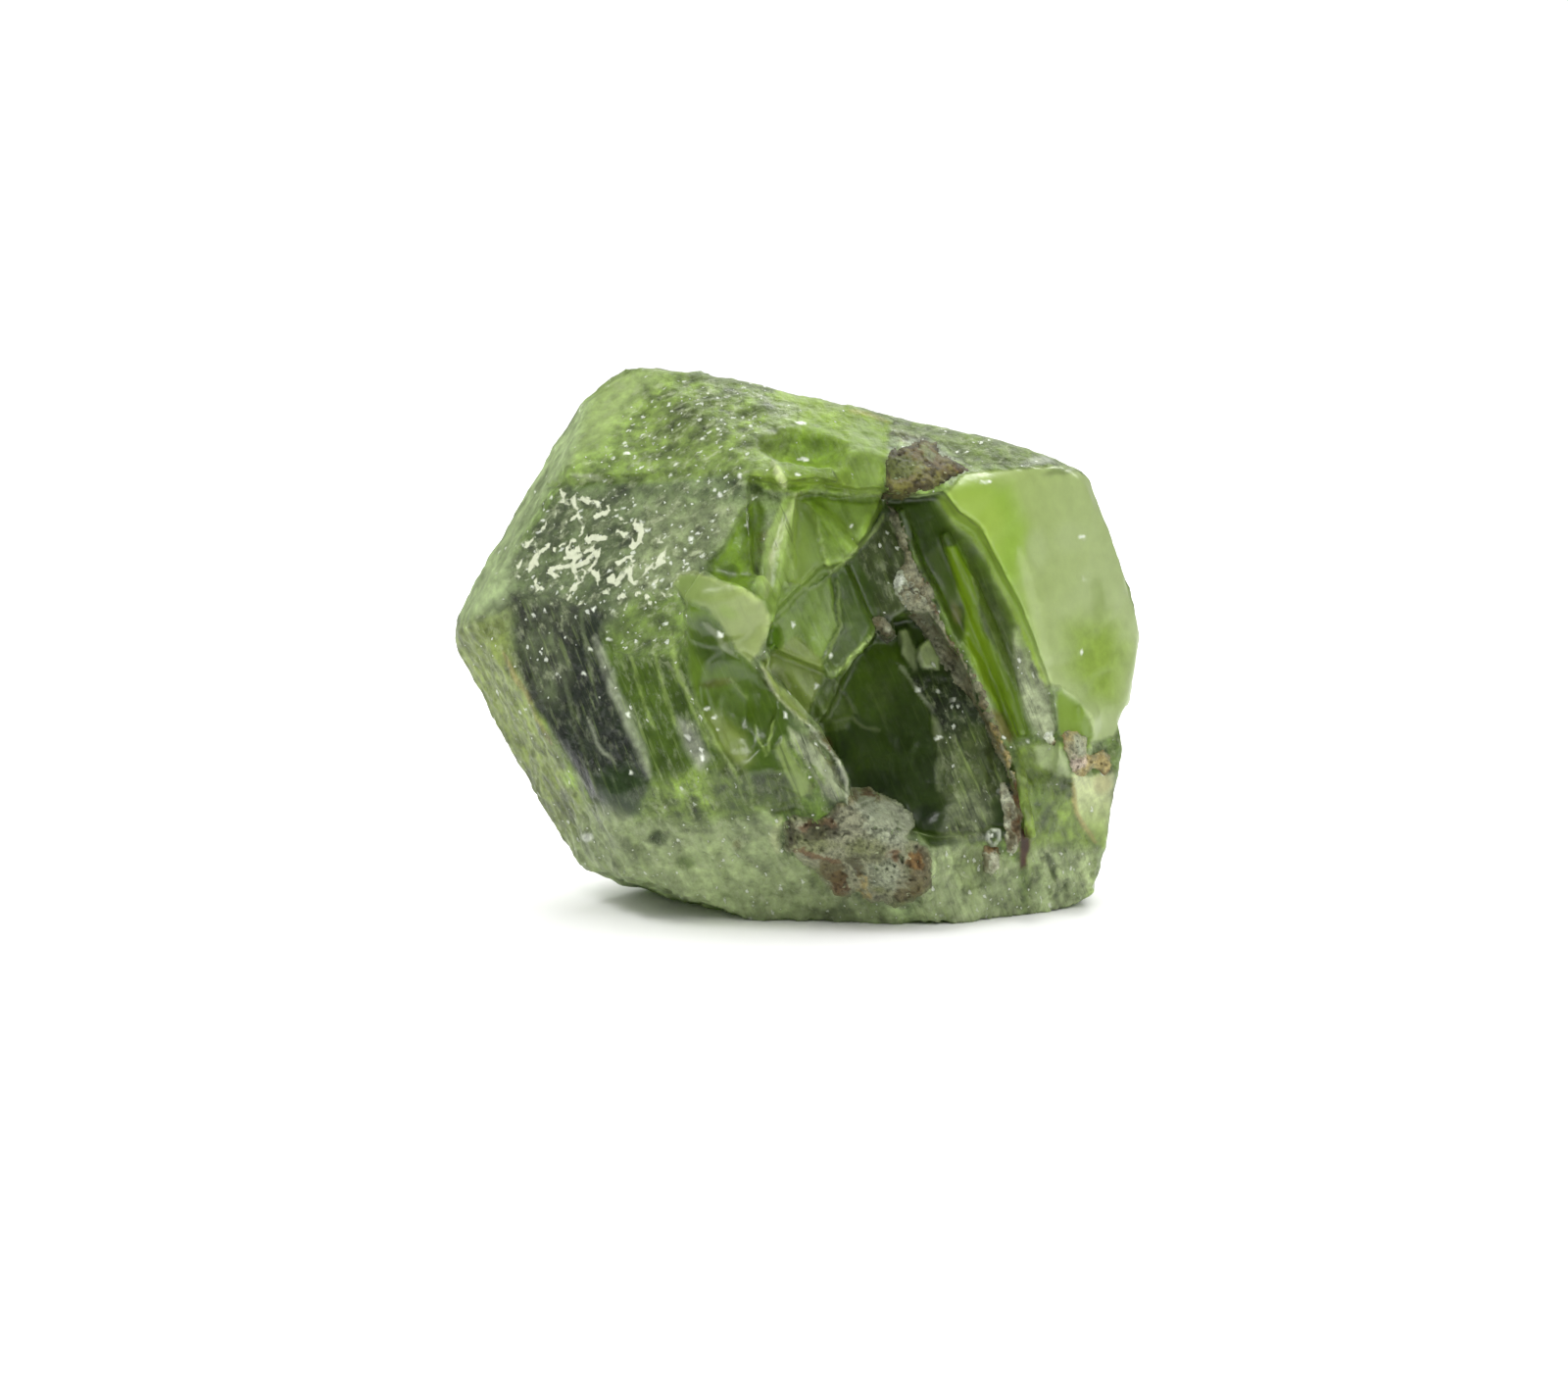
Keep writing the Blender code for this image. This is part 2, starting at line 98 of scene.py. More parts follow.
# The regions of the crystal's front; where two overlap, the later one shows
REGIONS = {
    # the frosted natural faces on the left
    "upper_left": region(
        "shoulder", [(552, 495), (572, 440), (600, 396), (660, 376), (800, 398), (806, 440), (785, 488), (735, 484),
         (680, 489), (600, 493)], 8, rough=0.5, flecks=0.62, grain=28, mottle=0.9, frost=1.0),
    "upper_left_rough": region(
        "skin_pale", [(650, 400), (720, 392), (795, 405), (790, 450), (775, 484), (735, 480),
         (690, 484), (640, 470)], 26, rough=0.5, flecks=0.85, grain=30, mottle=1.0, frost=1.4),
    "corner": region(
        "corner_band", [(575, 475), (603, 394), (617, 382), (648, 375), (690, 376), (660, 396), (636, 425),
         (612, 455)], 14, rough=0.5, flecks=0.3, grain=30, mottle=0.6, frost=0.5),
    # The pale band along the left edge is partly its pale frosted skin and partly painted light that the chamfer
    # catches
    "upper_band": region(
        "pale_band", [(455, 650), (470, 610), (518, 520), (540, 490), (580, 415), (605, 405), (584, 465), (547, 525),
         (521, 575), (519, 620), (524, 650)], 7, rough=0.5, flecks=0.3, grain=60, mottle=0.7, frost=0.7),
    "lower_band": region(
        "plate", [(455, 640), (520, 620), (527, 665), (536, 691), (545, 720), (559, 741), (579, 775), (600, 812),
         (612, 850), (584, 885), (540, 825), (495, 740), (460, 670)], 12, clear=0.2, rough=0.5, flecks=0.4,
        grain=-60, mottle=0.9, frost=1.4, shards=0.3),
    "top_sliver": region(
        "skin_pale", [(664, 374), (706, 377), (800, 392), (928, 422), (1056, 453), (1110, 484), (1080, 478),
         (1040, 476), (988, 478), (960, 455), (900, 432), (868, 420), (800, 403), (700, 386)], 4,
        clear=0.25, rough=0.6, flecks=0.5, grain=-14, mottle=0.8, frost=0.8),
    # Its grey is a painted sheen, the reflection on a glossy dark face
    "grey_shoulder": region(
        "sheen", [(575, 496), (600, 493), (680, 491), (735, 486), (776, 498), (775, 515), (754, 545), (730, 560),
         (722, 590), (690, 600), (668, 622), (640, 640), (600, 650), (560, 640), (522, 620), (522, 590),
         (536, 556), (556, 522)], 9, rough=0.35, flecks=0.7, grain=38, mottle=1.0, frost=1.2),
    "green_shoulder": region(
        "milky", [(655, 520), (700, 512), (768, 505), (754, 545), (730, 560), (705, 585), (690, 605), (700, 640),
         (655, 660), (632, 625), (644, 580)], 16, rough=0.4, flecks=0.9, grain=45, mottle=1.0, frost=1.3),
    "shoulder_shade": region(
        "sheen", [(695, 490), (735, 486), (770, 500), (760, 516), (735, 508), (700, 508)],
        9, rough=0.35, flecks=0.9, grain=40, mottle=1.1, frost=1.2),
    # Its very dark green is partly the crystal's own deep colour and partly painted shade
    "dark_face": region(
        "dark_face", [(524, 640), (545, 622), (580, 632), (606, 616), (620, 626), (614, 646), (619, 679), (630, 709),
         (642, 734), (658, 772), (666, 794), (648, 840), (612, 832), (593, 799), (579, 775), (559, 741),
         (545, 720), (536, 691), (527, 665)], 6, 0.3, 0.3, 0.2, -70, 0.9, 0.7, 0.8, 0.5),
    # A painted sheen: the grey reflection on the upper part of the dark face
    "dark_face_sheen": region(
        "veil", [(522, 612), (560, 606), (590, 620), (580, 660), (568, 716), (548, 716), (530, 670)],
        15, 0.2, 0.4, 0.5, -74, 1.1, 0.8, 1.0, 0.4),
    "dark_foot": region(
        "dark_foot", [(604, 790), (640, 778), (662, 795), (650, 838), (614, 832)],
        9, 0.3, 0.25, 0.1, -72, 0.5, 0.5, 0.3),
    "striated": region(
        "striated", [(618, 655), (640, 625), (690, 612), (700, 650), (704, 700), (718, 735), (738, 770), (755, 800),
         (722, 832), (672, 830), (666, 795), (658, 772), (642, 734), (630, 709)], 6, 0.4, 0.3, 0.3, -72,
        0.6, 1.0, 0.3),
    "striated_top": region(
        "shoulder", [(622, 640), (645, 612), (690, 606), (700, 640), (690, 672), (655, 668), (630, 665)],
        12, 0.35, 0.4, 0.8, 55, 1.0, 0.3, 1.0),
    "striated_low": region(
        "skin_pale", [(668, 800), (715, 780), (758, 800), (790, 830), (722, 845), (650, 842)],
        14, 0.3, 0.4, 0.6, -70, 1.1, 1.0, 0.9, 0.7),
    "low_left": region(
        "milky", [(596, 818), (650, 836), (725, 838), (790, 830), (803, 872), (850, 896), (905, 930), (960, 950),
         (740, 950), (600, 905), (575, 870)], 11, 0.12, 0.5, 0.45, -45, 0.75, 0.4, 1.5, 0.8),
    "low_left_green": region(
        "milky", [(672, 868), (735, 862), (775, 905), (820, 930), (720, 928), (672, 902)],
        18, 0.12, 0.5, 0.45, -40, 0.7, 0.5, 1.4, 0.8),
    # the bright break at the top
    "upper_break": region(
        "bright", [(790, 400), (860, 412), (908, 430), (905, 468), (897, 504), (870, 505), (835, 499), (800, 501),
         (765, 489), (782, 450)], 5, 0.3, 0.6, 0.3, -60, 0.6, 0.3, 0.7, 0.2),
    "break_left": region(
        "skin_pale", [(782, 408), (812, 412), (815, 440), (800, 470), (770, 488), (772, 450)],
        10, 0.4, 0.4, 0.5, 35, 0.8, 0.2, 0.8),
    "break_deep": region(
        "leaf", [(808, 440), (842, 432), (862, 450), (864, 482), (820, 488), (802, 470)],
        18, 0.3, 0.6, 0.2, -40, 0.7, 0.3, 0.6, 0.2),
    "break_plates": region(
        "lime", [(868, 434), (880, 428), (903, 440), (903, 470), (896, 500), (872, 500), (862, 466)],
        7, 0.35, 0.6, 0.1, -86, 0.5, 0.6, 0.4, slope=(180.0, -0.02, 0.03)),
    # the fan of shards
    "pocket": region(
        "leaf", [(724, 572), (742, 556), (756, 522), (772, 510), (780, 520), (774, 556), (766, 602), (742, 598),
         (728, 588)], 5, 0.5, 0.3, 0.1, -60, 0.7, 0.2, 0.3, slope=(0.0, -0.12, -0.12)),
    "fan_left": region(
        "shell", [(812, 504), (800, 508), (783, 545), (774, 585), (770, 612), (786, 640), (800, 642), (806, 592),
         (809, 545)], 2.5, 0.45, 0.3, 0.1, -100, 0.5, 1.0, 0.2,
        slope=(180.0, -0.05, 0.22), fade=(-90, "shoulder")),
    "fan_centre": region(
        "olive", [(812, 504), (809, 545), (805, 594), (822, 600), (846, 586), (836, 545), (826, 504)],
        2, 0.5, 0.2, 0.0, -75, 0.3, 0.4, 0.1, slope=(-60.0, -0.22, 0.0), fade=(0, "shoulder")),
    "fan_right": region(
        "leaf", [(824, 504), (870, 507), (897, 505), (902, 524), (881, 553), (846, 586), (836, 545)],
        1.6, 0.35, 0.35, 0.1, -55, 0.6, 0.5, 0.1, slope=(-35.0, -0.12, 0.14), fade=(-75, "shoulder")),
    "plate_mid": region(
        "shoulder", [(786, 640), (800, 596), (826, 600), (848, 588), (856, 640), (840, 672),
         (812, 648), (796, 664)], 2.5, 0.45, 0.25, 0.1, -75, 0.5, 0.7, 0.1, slope=(-20.0, -0.1, 0.1)),
    "middle_shard": region(
        "shoulder", [(846, 588), (862, 575), (878, 590), (893, 647), (878, 660), (870, 670), (862, 683), (848, 690),
         (838, 672), (854, 640)], 1.6, 0.5, 0.22, 0.05, -70, 0.5, 0.5, 0.1, slope=(-50.0, -0.1, 0.25),
        fade=(25, "deep_leaf")),
    "dark_hole": region(
        "deep", [(784, 642), (793, 638), (796, 652), (793, 664), (784, 660)],
        2, 0.4, 0.3, 0.0, slope=(0, -0.3, -0.3)),
    "lower_plate": region(
        "plate", [(777, 674), (790, 665), (812, 648), (838, 670), (841, 688), (832, 708), (822, 736), (804, 722),
         (787, 703)], 2, 0.4, 0.25, 0.1, -52, 0.4, 0.5, 0.1, slope=(90.0, 0.1, -0.05)),
    "shell": region(
        "shell", [(687, 597), (695, 588), (707, 585), (726, 587), (736, 595), (754, 599), (768, 606), (777, 615),
         (785, 627), (786, 636), (781, 650), (773, 668), (766, 677), (750, 662), (735, 638), (723, 622),
         (702, 615)], 2.5, 0.4, 0.3, 0.0, -50, 0.25, 0.3, 0.1,
        slope=(60.0, -0.05, 0.22), fade=(-10, "milky_shell")),
    "bowl": region(
        "leaf", [(702, 616), (723, 622), (735, 640), (750, 664), (768, 678), (786, 703), (804, 724), (815, 745),
         (798, 760), (797, 785), (760, 804), (738, 769), (718, 735), (711, 717), (702, 680)], 3.5, 0.5, 0.2, 0.0,
        -60, 0.4, 0.5, 0.1, fade=(-30, "deep_leaf")),
    "bowl_shade": region(
        "deep_leaf", [(704, 634), (722, 628), (740, 650), (748, 672), (726, 684), (708, 668)],
        8, 0.5, 0.2, 0.0, -60, 0.4, 0.5, 0.1),
    "bowl_glow": region(
        "plate", [(718, 728), (736, 728), (758, 748), (768, 776), (752, 790), (734, 762)],
        8, 0.45, 0.25, 0.0, -55, 0.3, 0.5, 0.1),
    "bowl_floor": region(
        "lime_shade", [(738, 770), (760, 782), (770, 800), (764, 830), (738, 832), (722, 800)],
        8, 0.45, 0.35, 0.3, -65, 1.0, 0.8, 0.5, 0.6),
    "small_bowl": region(
        "olive", [(768, 794), (786, 786), (806, 790), (820, 802), (816, 826), (792, 832), (770, 820)],
        5, 0.45, 0.35, 0.3, -60, 1.0, 0.8, 0.4, 0.6, slope=(0, -0.12, -0.12)),
    "silver_patch": region(
        "silver", [(690, 730), (706, 738), (726, 772), (716, 786), (698, 764)],
        6, 0.1, 0.35, 0.5, -60, 0.8, 0.4, 0.8),
    "grooved_left": region(
        "shell", [(790, 764), (799, 750), (808, 770), (824, 793), (828, 812), (816, 814), (800, 788)],
        2.5, 0.3, 0.3, 0.0, -58, 0.4, 1.0, 0.1, slope=(120.0, -0.05, 0.15)),
    "grooved_right": region(
        "silver_strip", [(803, 741), (822, 752), (839, 772), (853, 791), (862, 810), (852, 818), (839, 810),
         (826, 785), (812, 765)], 3.5, 0.2, 0.45, 0.3, -58, 0.8, 1.6, 0.3, slope=(40.0, -0.05, 0.10)),
    # the deep hollow and what stands in it
    # The hollow's dark green is partly the crystal's own deep colour and partly painted shade
    "hollow": region(
        "deep", [(890, 535), (904, 510), (920, 530), (930, 565), (940, 590), (960, 640), (985, 680), (1000, 710),
         (1012, 740), (1030, 775), (1036, 800), (1044, 852), (950, 864), (930, 842), (890, 826), (858, 800),
         (838, 750), (848, 692), (864, 684), (880, 660), (894, 648), (880, 600), (866, 578)], 2.5, 0.4, 0.2, 0.0,
        -80, 0.5, 0.3, 0.1, 0.3),
    "slab": region(
        "murk", [(868, 576), (884, 554), (902, 526), (914, 524), (922, 556), (934, 592), (926, 622), (908, 632),
         (894, 622), (884, 590)], 3.5, 0.35, 0.3, 0.35, -65, 0.7, 0.6, 0.3, slope=(-70, -0.05, 0.12)),
    "olive_patch": region(
        "deep_leaf", [(862, 578), (874, 568), (890, 596), (897, 640), (892, 648), (880, 620)],
        4, 0.45, 0.2, 0.0, -70, 0.4, 0.3, 0.1, slope=(-30, 0.0, 0.1)),
    "hollow_wall": region(
        "deep_leaf", [(850, 692), (870, 672), (893, 652), (912, 655), (926, 684), (950, 727), (949, 756), (904, 746),
         (872, 726)], 2.5, 0.4, 0.2, 0.05, -75, 0.6, 0.4, 0.1, slope=(90, 0.0, -0.15), fade=(-70, "deep")),
    "hollow_left": region(
        "olive_shade", [(824, 738), (834, 706), (842, 690), (850, 692), (872, 726), (864, 744), (842, 748)],
        2.5, 0.4, 0.2, 0.1, -60, 0.6, 0.4, 0.1, slope=(-140, -0.05, 0.15)),
    "hollow_glow": region(
        "deep_leaf", [(866, 756), (890, 752), (912, 770), (900, 792), (872, 786)], 10, 0.5, 0.2, 0.0, -80, 0.4),
    "hollow_dark": region(
        "murk_dark", [(928, 690), (955, 684), (990, 694), (1004, 716), (1003, 742), (962, 750), (952, 727)],
        6, 0.3, 0.3, 0.4, -60, 1.0, 0.6, 0.6, 0.6),
    "hollow_grained": region(
        "murk", [(956, 752), (985, 746), (1004, 742), (1020, 770), (1024, 808), (1002, 822), (962, 814)],
        9, 0.3, 0.35, 0.4, -80, 0.9, 1.4, 0.5, 0.5),
    "hollow_milky": region(
        "murk_pale", [(972, 812), (998, 808), (1012, 830), (1008, 850), (985, 862), (962, 852)],
        9, 0.25, 0.4, 0.6, -75, 1.0, 1.2, 0.8, 0.3),
    "flake_left": region(
        "murk_pale", [(918, 644), (926, 642), (935, 664), (934, 686), (921, 668)],
        1.6, 0.3, 0.25, 0.0, -65, 0.4, 0.7, 0.1, slope=(150, 0.05, 0.3)),
    "flake_right": region(
        "murk_pale", [(938, 660), (949, 650), (959, 671), (958, 682), (942, 681), (936, 671)],
        1.6, 0.3, 0.25, 0.2, -65, 0.5, 0.7, 0.2, slope=(150, 0.05, 0.3)),
    "flake_low": region(
        "murk_pale", [(951, 728), (958, 736), (962, 752), (957, 758), (952, 748)],
        1.6, 0.3, 0.25, 0.0, -65, 0.4, 0.7, 0.1, slope=(150, 0.0, 0.2)),
    # the cleft and its strips
    "cleft": region(
        "deep", [(903, 511), (958, 507), (970, 530), (976, 556), (986, 590), (1000, 640), (978, 655), (955, 600),
         (928, 550)], 3, 0.5, 0.2, 0.05, -60, 0.4, 0.3, 0.1, 0.3, fade=(-60, "deep_leaf")),
    "cleft_green": region(
        "leaf", [(946, 566), (960, 556), (975, 585), (986, 618), (990, 650), (978, 654), (960, 612)],
        5, 0.6, 0.2, 0.0, -65, 0.4, 0.4, 0.1),
    "glow_strip": region(
        "glow", [(966, 558), (977, 556), (992, 585), (1002, 640), (1020, 668), (1036, 700), (1054, 752), (1038, 758),
         (1018, 725), (1003, 700), (985, 660), (984, 625)], 2.5, 0.6, 0.2, 0.0, -65, 0.2, 0.3, 0.05,
        slope=(20, 0.1, -0.05), fade=(12, "leaf")),
    "dark_strip": region(
        "olive_shade", [(964, 532), (980, 537), (998, 552), (1010, 580), (1026, 604), (1038, 640), (1042, 690),
         (1052, 742), (1036, 700), (1020, 668), (1002, 640), (994, 588), (978, 556)], 3, 0.4, 0.25, 0.1,
        -68, 0.6, 0.7, 0.2),
    "silver_strip": region(
        "silver_strip", [(1033, 640), (1042, 636), (1056, 668), (1068, 698), (1078, 745), (1062, 757), (1050, 732),
         (1040, 701)], 3.5, 0.15, 0.4, 0.5, -72, 0.9, 1.0, 0.6),
    # the smooth right face and the foot
    # The right face's light colour is partly a painted glow of light coming through the crystal from behind
    "right_face": region(
        "right_face", [(958, 511), (985, 483), (1040, 478), (1080, 476), (1114, 486), (1140, 560), (1175, 640),
         (1165, 700), (1136, 752), (1117, 757), (1113, 734), (1101, 716), (1085, 703), (1068, 698),
         (1052, 663), (1037, 630), (1024, 602), (1008, 572), (992, 546), (972, 531)], 2.5, 0.4, 0.25, 0.0,
        -62, 0.2, 0.1, 0.05, fade=(-8, "right_milk")),
    "face_glow": region(
        "lime", [(960, 511), (984, 494), (1030, 496), (1048, 540), (1040, 600), (1058, 672), (1046, 655), (1022, 602),
         (992, 546), (974, 531)], 14, 0.5, 0.22, 0.0, -62, 0.2, 0.1, 0.05),
    "face_corner": region(
        "glow_soft", [(960, 511), (980, 496), (1010, 500), (1024, 530), (1018, 570), (992, 546), (974, 531)],
        10, 0.55, 0.2, 0.0, -62, 0.1, 0.0, 0.05),
    "face_low": region(
        "lime_shade", [(1092, 640), (1130, 630), (1150, 660), (1140, 720), (1110, 712), (1090, 680)],
        20, 0.4, 0.25, 0.0, -62, 0.4, 0.1, 0.1),
    "green_lobe": region(
        "lime", [(1078, 706), (1086, 703), (1101, 716), (1113, 734), (1117, 754), (1108, 768), (1092, 752),
         (1080, 745)], 2, 0.5, 0.2, 0.0, -62, 0.2, 0.1, 0.05, slope=(0, 0.0, -0.1)),
    "low_right": region(
        "lime_shade", [(1034, 762), (1060, 757), (1082, 760), (1094, 794), (1099, 830), (1120, 860), (1118, 905),
         (1090, 945), (1046, 945), (1048, 862)], 5, 0.45, 0.35, 0.3, -70, 0.9, 0.5, 0.5, 0.7),
    "right_patch": region(
        "milky", [(1056, 762), (1076, 757), (1090, 772), (1092, 792), (1074, 790), (1058, 778)],
        4, 0.3, 0.4, 0.2, -50, 0.5, 0.2, 0.3),
    "low_right_flake": region(
        "pale_shard", [(1094, 790), (1110, 792), (1137, 787), (1132, 830), (1128, 868), (1116, 862), (1104, 842),
         (1099, 830)], 3, 0.3, 0.4, 0.1, -68, 0.6, 0.5, 0.4, slope=(0, 0.05, 0.12), fade=(-90, "lime_shade")),
    "foot_green": region(
        "milky", [(1050, 865), (1072, 862), (1120, 866), (1118, 905), (1088, 945), (1046, 945)],
        9, 0.15, 0.45, 0.5, -70, 0.9, 0.8, 1.2, 0.9),
    "foot_milky": region(
        "milky", [(950, 866), (1000, 860), (1038, 880), (1046, 945), (925, 950), (942, 915)], 6, 0.12, 0.45, 0.5, -75,
        0.75, 0.8, 1.2, 0.8),
    "rust_stain": region(
        "rust", [(1040, 846), (1048, 842), (1052, 858), (1048, 884), (1040, 888)], 3, 0.0, 0.5, 0.0, -80, 0.8),
    "brown_tint": region(
        "brown_green", [(1010, 722), (1022, 726), (1036, 750), (1030, 760), (1018, 748)], 4, 0.2, 0.4, 0.1, -65, 0.6),
}

# How much lighter or darker some regions are than the colour they share with others
TONES = {
    "upper_left": 1.4, "upper_band": 1.4, "lower_band": 0.68, "top_sliver": 0.67, "grey_shoulder": 1.85,
    "green_shoulder": 0.92, "shoulder_shade": 2.2, "dark_face": 0.4, "dark_face_sheen": 0.62, "dark_foot": 0.42,
    "striated": 0.57, "striated_low": 0.75, "low_left_green": 1.25, "upper_break": 0.86, "break_left": 1.12,
    "break_deep": 1.4, "break_plates": 0.68, "fan_left": 1.45, "fan_centre": 1.4, "plate_mid": 1.15,
    "middle_shard": 0.33, "dark_hole": 8.0, "shell": 0.74, "pocket": 1.2, "bowl_floor": 0.36, "small_bowl": 0.33,
    "silver_patch": 0.58, "grooved_left": 0.65, "slab": 0.6, "olive_patch": 0.75, "hollow_left": 0.86,
    "hollow_glow": 0.5, "hollow_milky": 0.9, "flake_left": 1.35, "flake_right": 2.2, "flake_low": 0.78,
    "cleft": 1.35, "cleft_green": 0.52, "glow_strip": 0.88, "dark_strip": 0.92, "silver_strip": 0.97,
    "right_face": 0.92, "face_glow": 1.35, "face_corner": 1.2, "face_low": 1.42, "right_patch": 1.65,
    "low_right": 0.9, "low_right_flake": 1.4, "foot_green": 1.08, "foot_milky": 1.28, "rust_stain": 0.35,
    "brown_tint": 0.82,
}

# Narrow marks: path in pixels, half its width, colour, strength, and how far it stands proud in millimetres
MARKS = [
    # The first mark is a painted shadow under the step of the shelf
    ([(572, 502), (600, 496), (640, 496), (680, 493), (735, 487), (768, 499)], 3.0, "dark_foot", 0.25, 0.0),
    ([(560, 494), (600, 489), (640, 489), (680, 486), (730, 481)], 5.0, "skin_pale", 0.5, -0.08),
    ([(514, 665), (525, 690), (536, 706), (550, 734), (562, 758)], 3.0, "tan", 0.6, 0.0),
    ([(541, 716), (560, 747), (580, 781), (604, 820)], 3.0, "skin_pale", 0.6, 0.05),
    ([(607, 650), (618, 679), (629, 709), (642, 734), (657, 772), (663, 792)], 6.5, "silver", 0.6, 0.06),
    ([(584, 736), (596, 766), (611, 820)], 2.2, "veil", 0.5, 0.03),
    ([(600, 732), (612, 761), (628, 780)], 2.2, "silver", 0.5, 0.03),
    ([(560, 640), (575, 690), (586, 735)], 2.5, "veil", 0.7, 0.03),
    ([(592, 620), (598, 660), (606, 700)], 2.5, "veil", 0.7, 0.03),
    ([(640, 660), (652, 700), (668, 745)], 2.0, "shell", 0.5, 0.03),
    ([(664, 650), (676, 700), (690, 740)], 2.0, "shell", 0.5, 0.03),
    ([(684, 640), (690, 680), (706, 722), (724, 760)], 3.0, "shell", 0.6, 0.05),
    ([(788, 472), (797, 488), (804, 503)], 5.0, "pale_shard", 0.8, 0.12),
    ([(765, 490), (782, 497), (800, 502), (835, 498), (870, 505), (897, 502)], 2.8, "lime", 0.8, 0.08),
    ([(806, 508), (836, 505), (870, 512), (896, 511)], 2.5, "deep_leaf", 0.6, -0.06),
    ([(866, 419), (888, 423), (906, 431)], 3.0, "tan", 0.5, 0.02),
    ([(812, 505), (803, 530), (790, 565), (780, 610)], 4.5, "pale_shard", 0.5, 0.03),
    ([(798, 530), (792, 552), (786, 575)], 3.0, "pale_shard", 0.6, 0.0),
    ([(812, 505), (810, 545), (808, 592)], 2.2, "shell", 0.7, 0.06),
    ([(824, 505), (836, 545), (847, 584)], 2.0, "shell", 0.6, 0.05),
    ([(902, 525), (893, 541), (881, 554), (864, 571), (847, 586)], 2.0, "shell", 0.75, 0.04),
    ([(892, 648), (879, 659), (871, 670), (862, 683), (849, 690)], 2.0, "shell", 0.85, 0.05),
    ([(854, 592), (858, 640), (842, 672)], 2.0, "shell", 0.5, 0.04),
    ([(687, 597), (696, 587), (710, 584), (734, 594), (756, 600), (776, 614), (786, 634)],
     2.2, "milky_shell", 0.6, 0.03),
    ([(716, 636), (730, 646), (742, 664), (752, 672)], 3.5, "silver", 0.7, 0.05),
    ([(684, 684), (697, 700), (712, 720), (720, 736), (738, 768), (756, 800)], 2.5, "shell", 0.5, 0.05),
    ([(745, 692), (754, 704), (764, 714)], 1.8, "shell", 0.5, 0.02),
    ([(770, 738), (773, 751), (780, 763), (781, 772)], 1.8, "shell", 0.7, 0.03),
    ([(789, 736), (786, 751), (784, 768)], 1.8, "shell", 0.7, 0.03),
    ([(780, 674), (798, 702), (816, 724), (836, 746), (850, 772)], 12.0, "plate", 0.0, -0.28),
    ([(777, 676), (787, 703), (803, 722), (825, 739)], 1.8, "pale_shard", 0.8, 0.06),
    ([(793, 682), (801, 694), (808, 704)], 2.2, "pale_shard", 0.7, 0.04),
    ([(825, 739), (833, 751), (845, 763), (856, 777), (863, 797), (866, 824)], 2.4, "cream", 0.7, 0.08),
    ([(838, 750), (846, 757), (848, 766)], 3.0, "rust", 0.8, 0.0),
    ([(806, 762), (822, 785), (836, 806)], 2.4, "leaf", 0.8, -0.08),
    ([(828, 780), (842, 800)], 2.6, "leaf", 0.7, -0.06),
    ([(849, 692), (864, 712), (872, 727)], 1.8, "murk_pale", 0.7, 0.04),
    ([(842, 737), (856, 735), (870, 733), (882, 741), (898, 745)], 2.0, "murk_pale", 0.6, 0.03),
    ([(918, 676), (926, 689), (934, 702), (944, 715), (953, 728)], 2.2, "silver", 0.85, 0.06),
    ([(918, 645), (919, 658), (923, 670)], 1.8, "silver", 0.6, 0.02),
    ([(939, 661), (938, 671), (942, 681)], 2.2, "silver", 0.8, 0.02),
    ([(960, 760), (957, 785), (957, 806)], 3.5, "murk_pale", 0.6, 0.04),
    ([(984, 786), (992, 812), (998, 846)], 3.0, "murk_pale", 0.7, 0.04),
    ([(972, 752), (976, 776), (974, 800)], 2.2, "murk_pale", 0.5, 0.03),
    ([(960, 512), (973, 532), (993, 547), (1009, 573), (1025, 603), (1038, 631), (1053, 665), (1068, 700)], 2.6,
     "glow_soft", 0.8, 0.06),
    ([(1040, 560), (1056, 620), (1072, 690)], 6.0, "right_milk", 0.5, 0.0),
    ([(1085, 703), (1101, 716), (1113, 734), (1117, 753), (1110, 770)], 2.2, "right_milk", 0.7, 0.04),
    # A painted shadow under the upper host rock
    ([(897, 510), (935, 512), (962, 503)], 4.0, "deep", 0.85, -0.08),
    ([(1010, 741), (1019, 759), (1031, 777)], 3.0, "tan", 0.7, 0.05),
    ([(1094, 796), (1099, 828), (1108, 845), (1119, 859)], 2.8, "tan", 0.75, 0.04),
    ([(797, 836), (790, 850), (793, 870)], 5.5, "pale_shard", 0.75, 0.05),
    ([(1010, 846), (1007, 855), (1013, 863), (1020, 857), (1019, 847), (1010, 846)], 2.0, "white", 0.9, 0.08),
    ([(1068, 870), (1074, 884), (1078, 898)], 4.5, "murk_dark", 0.8, -0.12),
    ([(1084, 898), (1088, 908)], 3.5, "murk_dark", 0.8, -0.1),
    ([(1058, 872), (1062, 900), (1060, 930)], 2.5, "pale_band", 0.6, 0.03),
    ([(1088, 880), (1098, 910), (1104, 918)], 2.5, "pale_band", 0.6, 0.03),
    ([(826, 880), (838, 905), (842, 925)], 3.5, "frosted_top", 0.6, 0.04),
    ([(866, 888), (880, 910), (890, 930)], 3.0, "frosted_top", 0.5, 0.04),
    ([(712, 845), (730, 870), (742, 900)], 3.0, "frosted_top", 0.4, 0.04),
    ([(640, 845), (655, 880), (668, 905)], 3.5, "frosted_top", 0.5, 0.04),
]

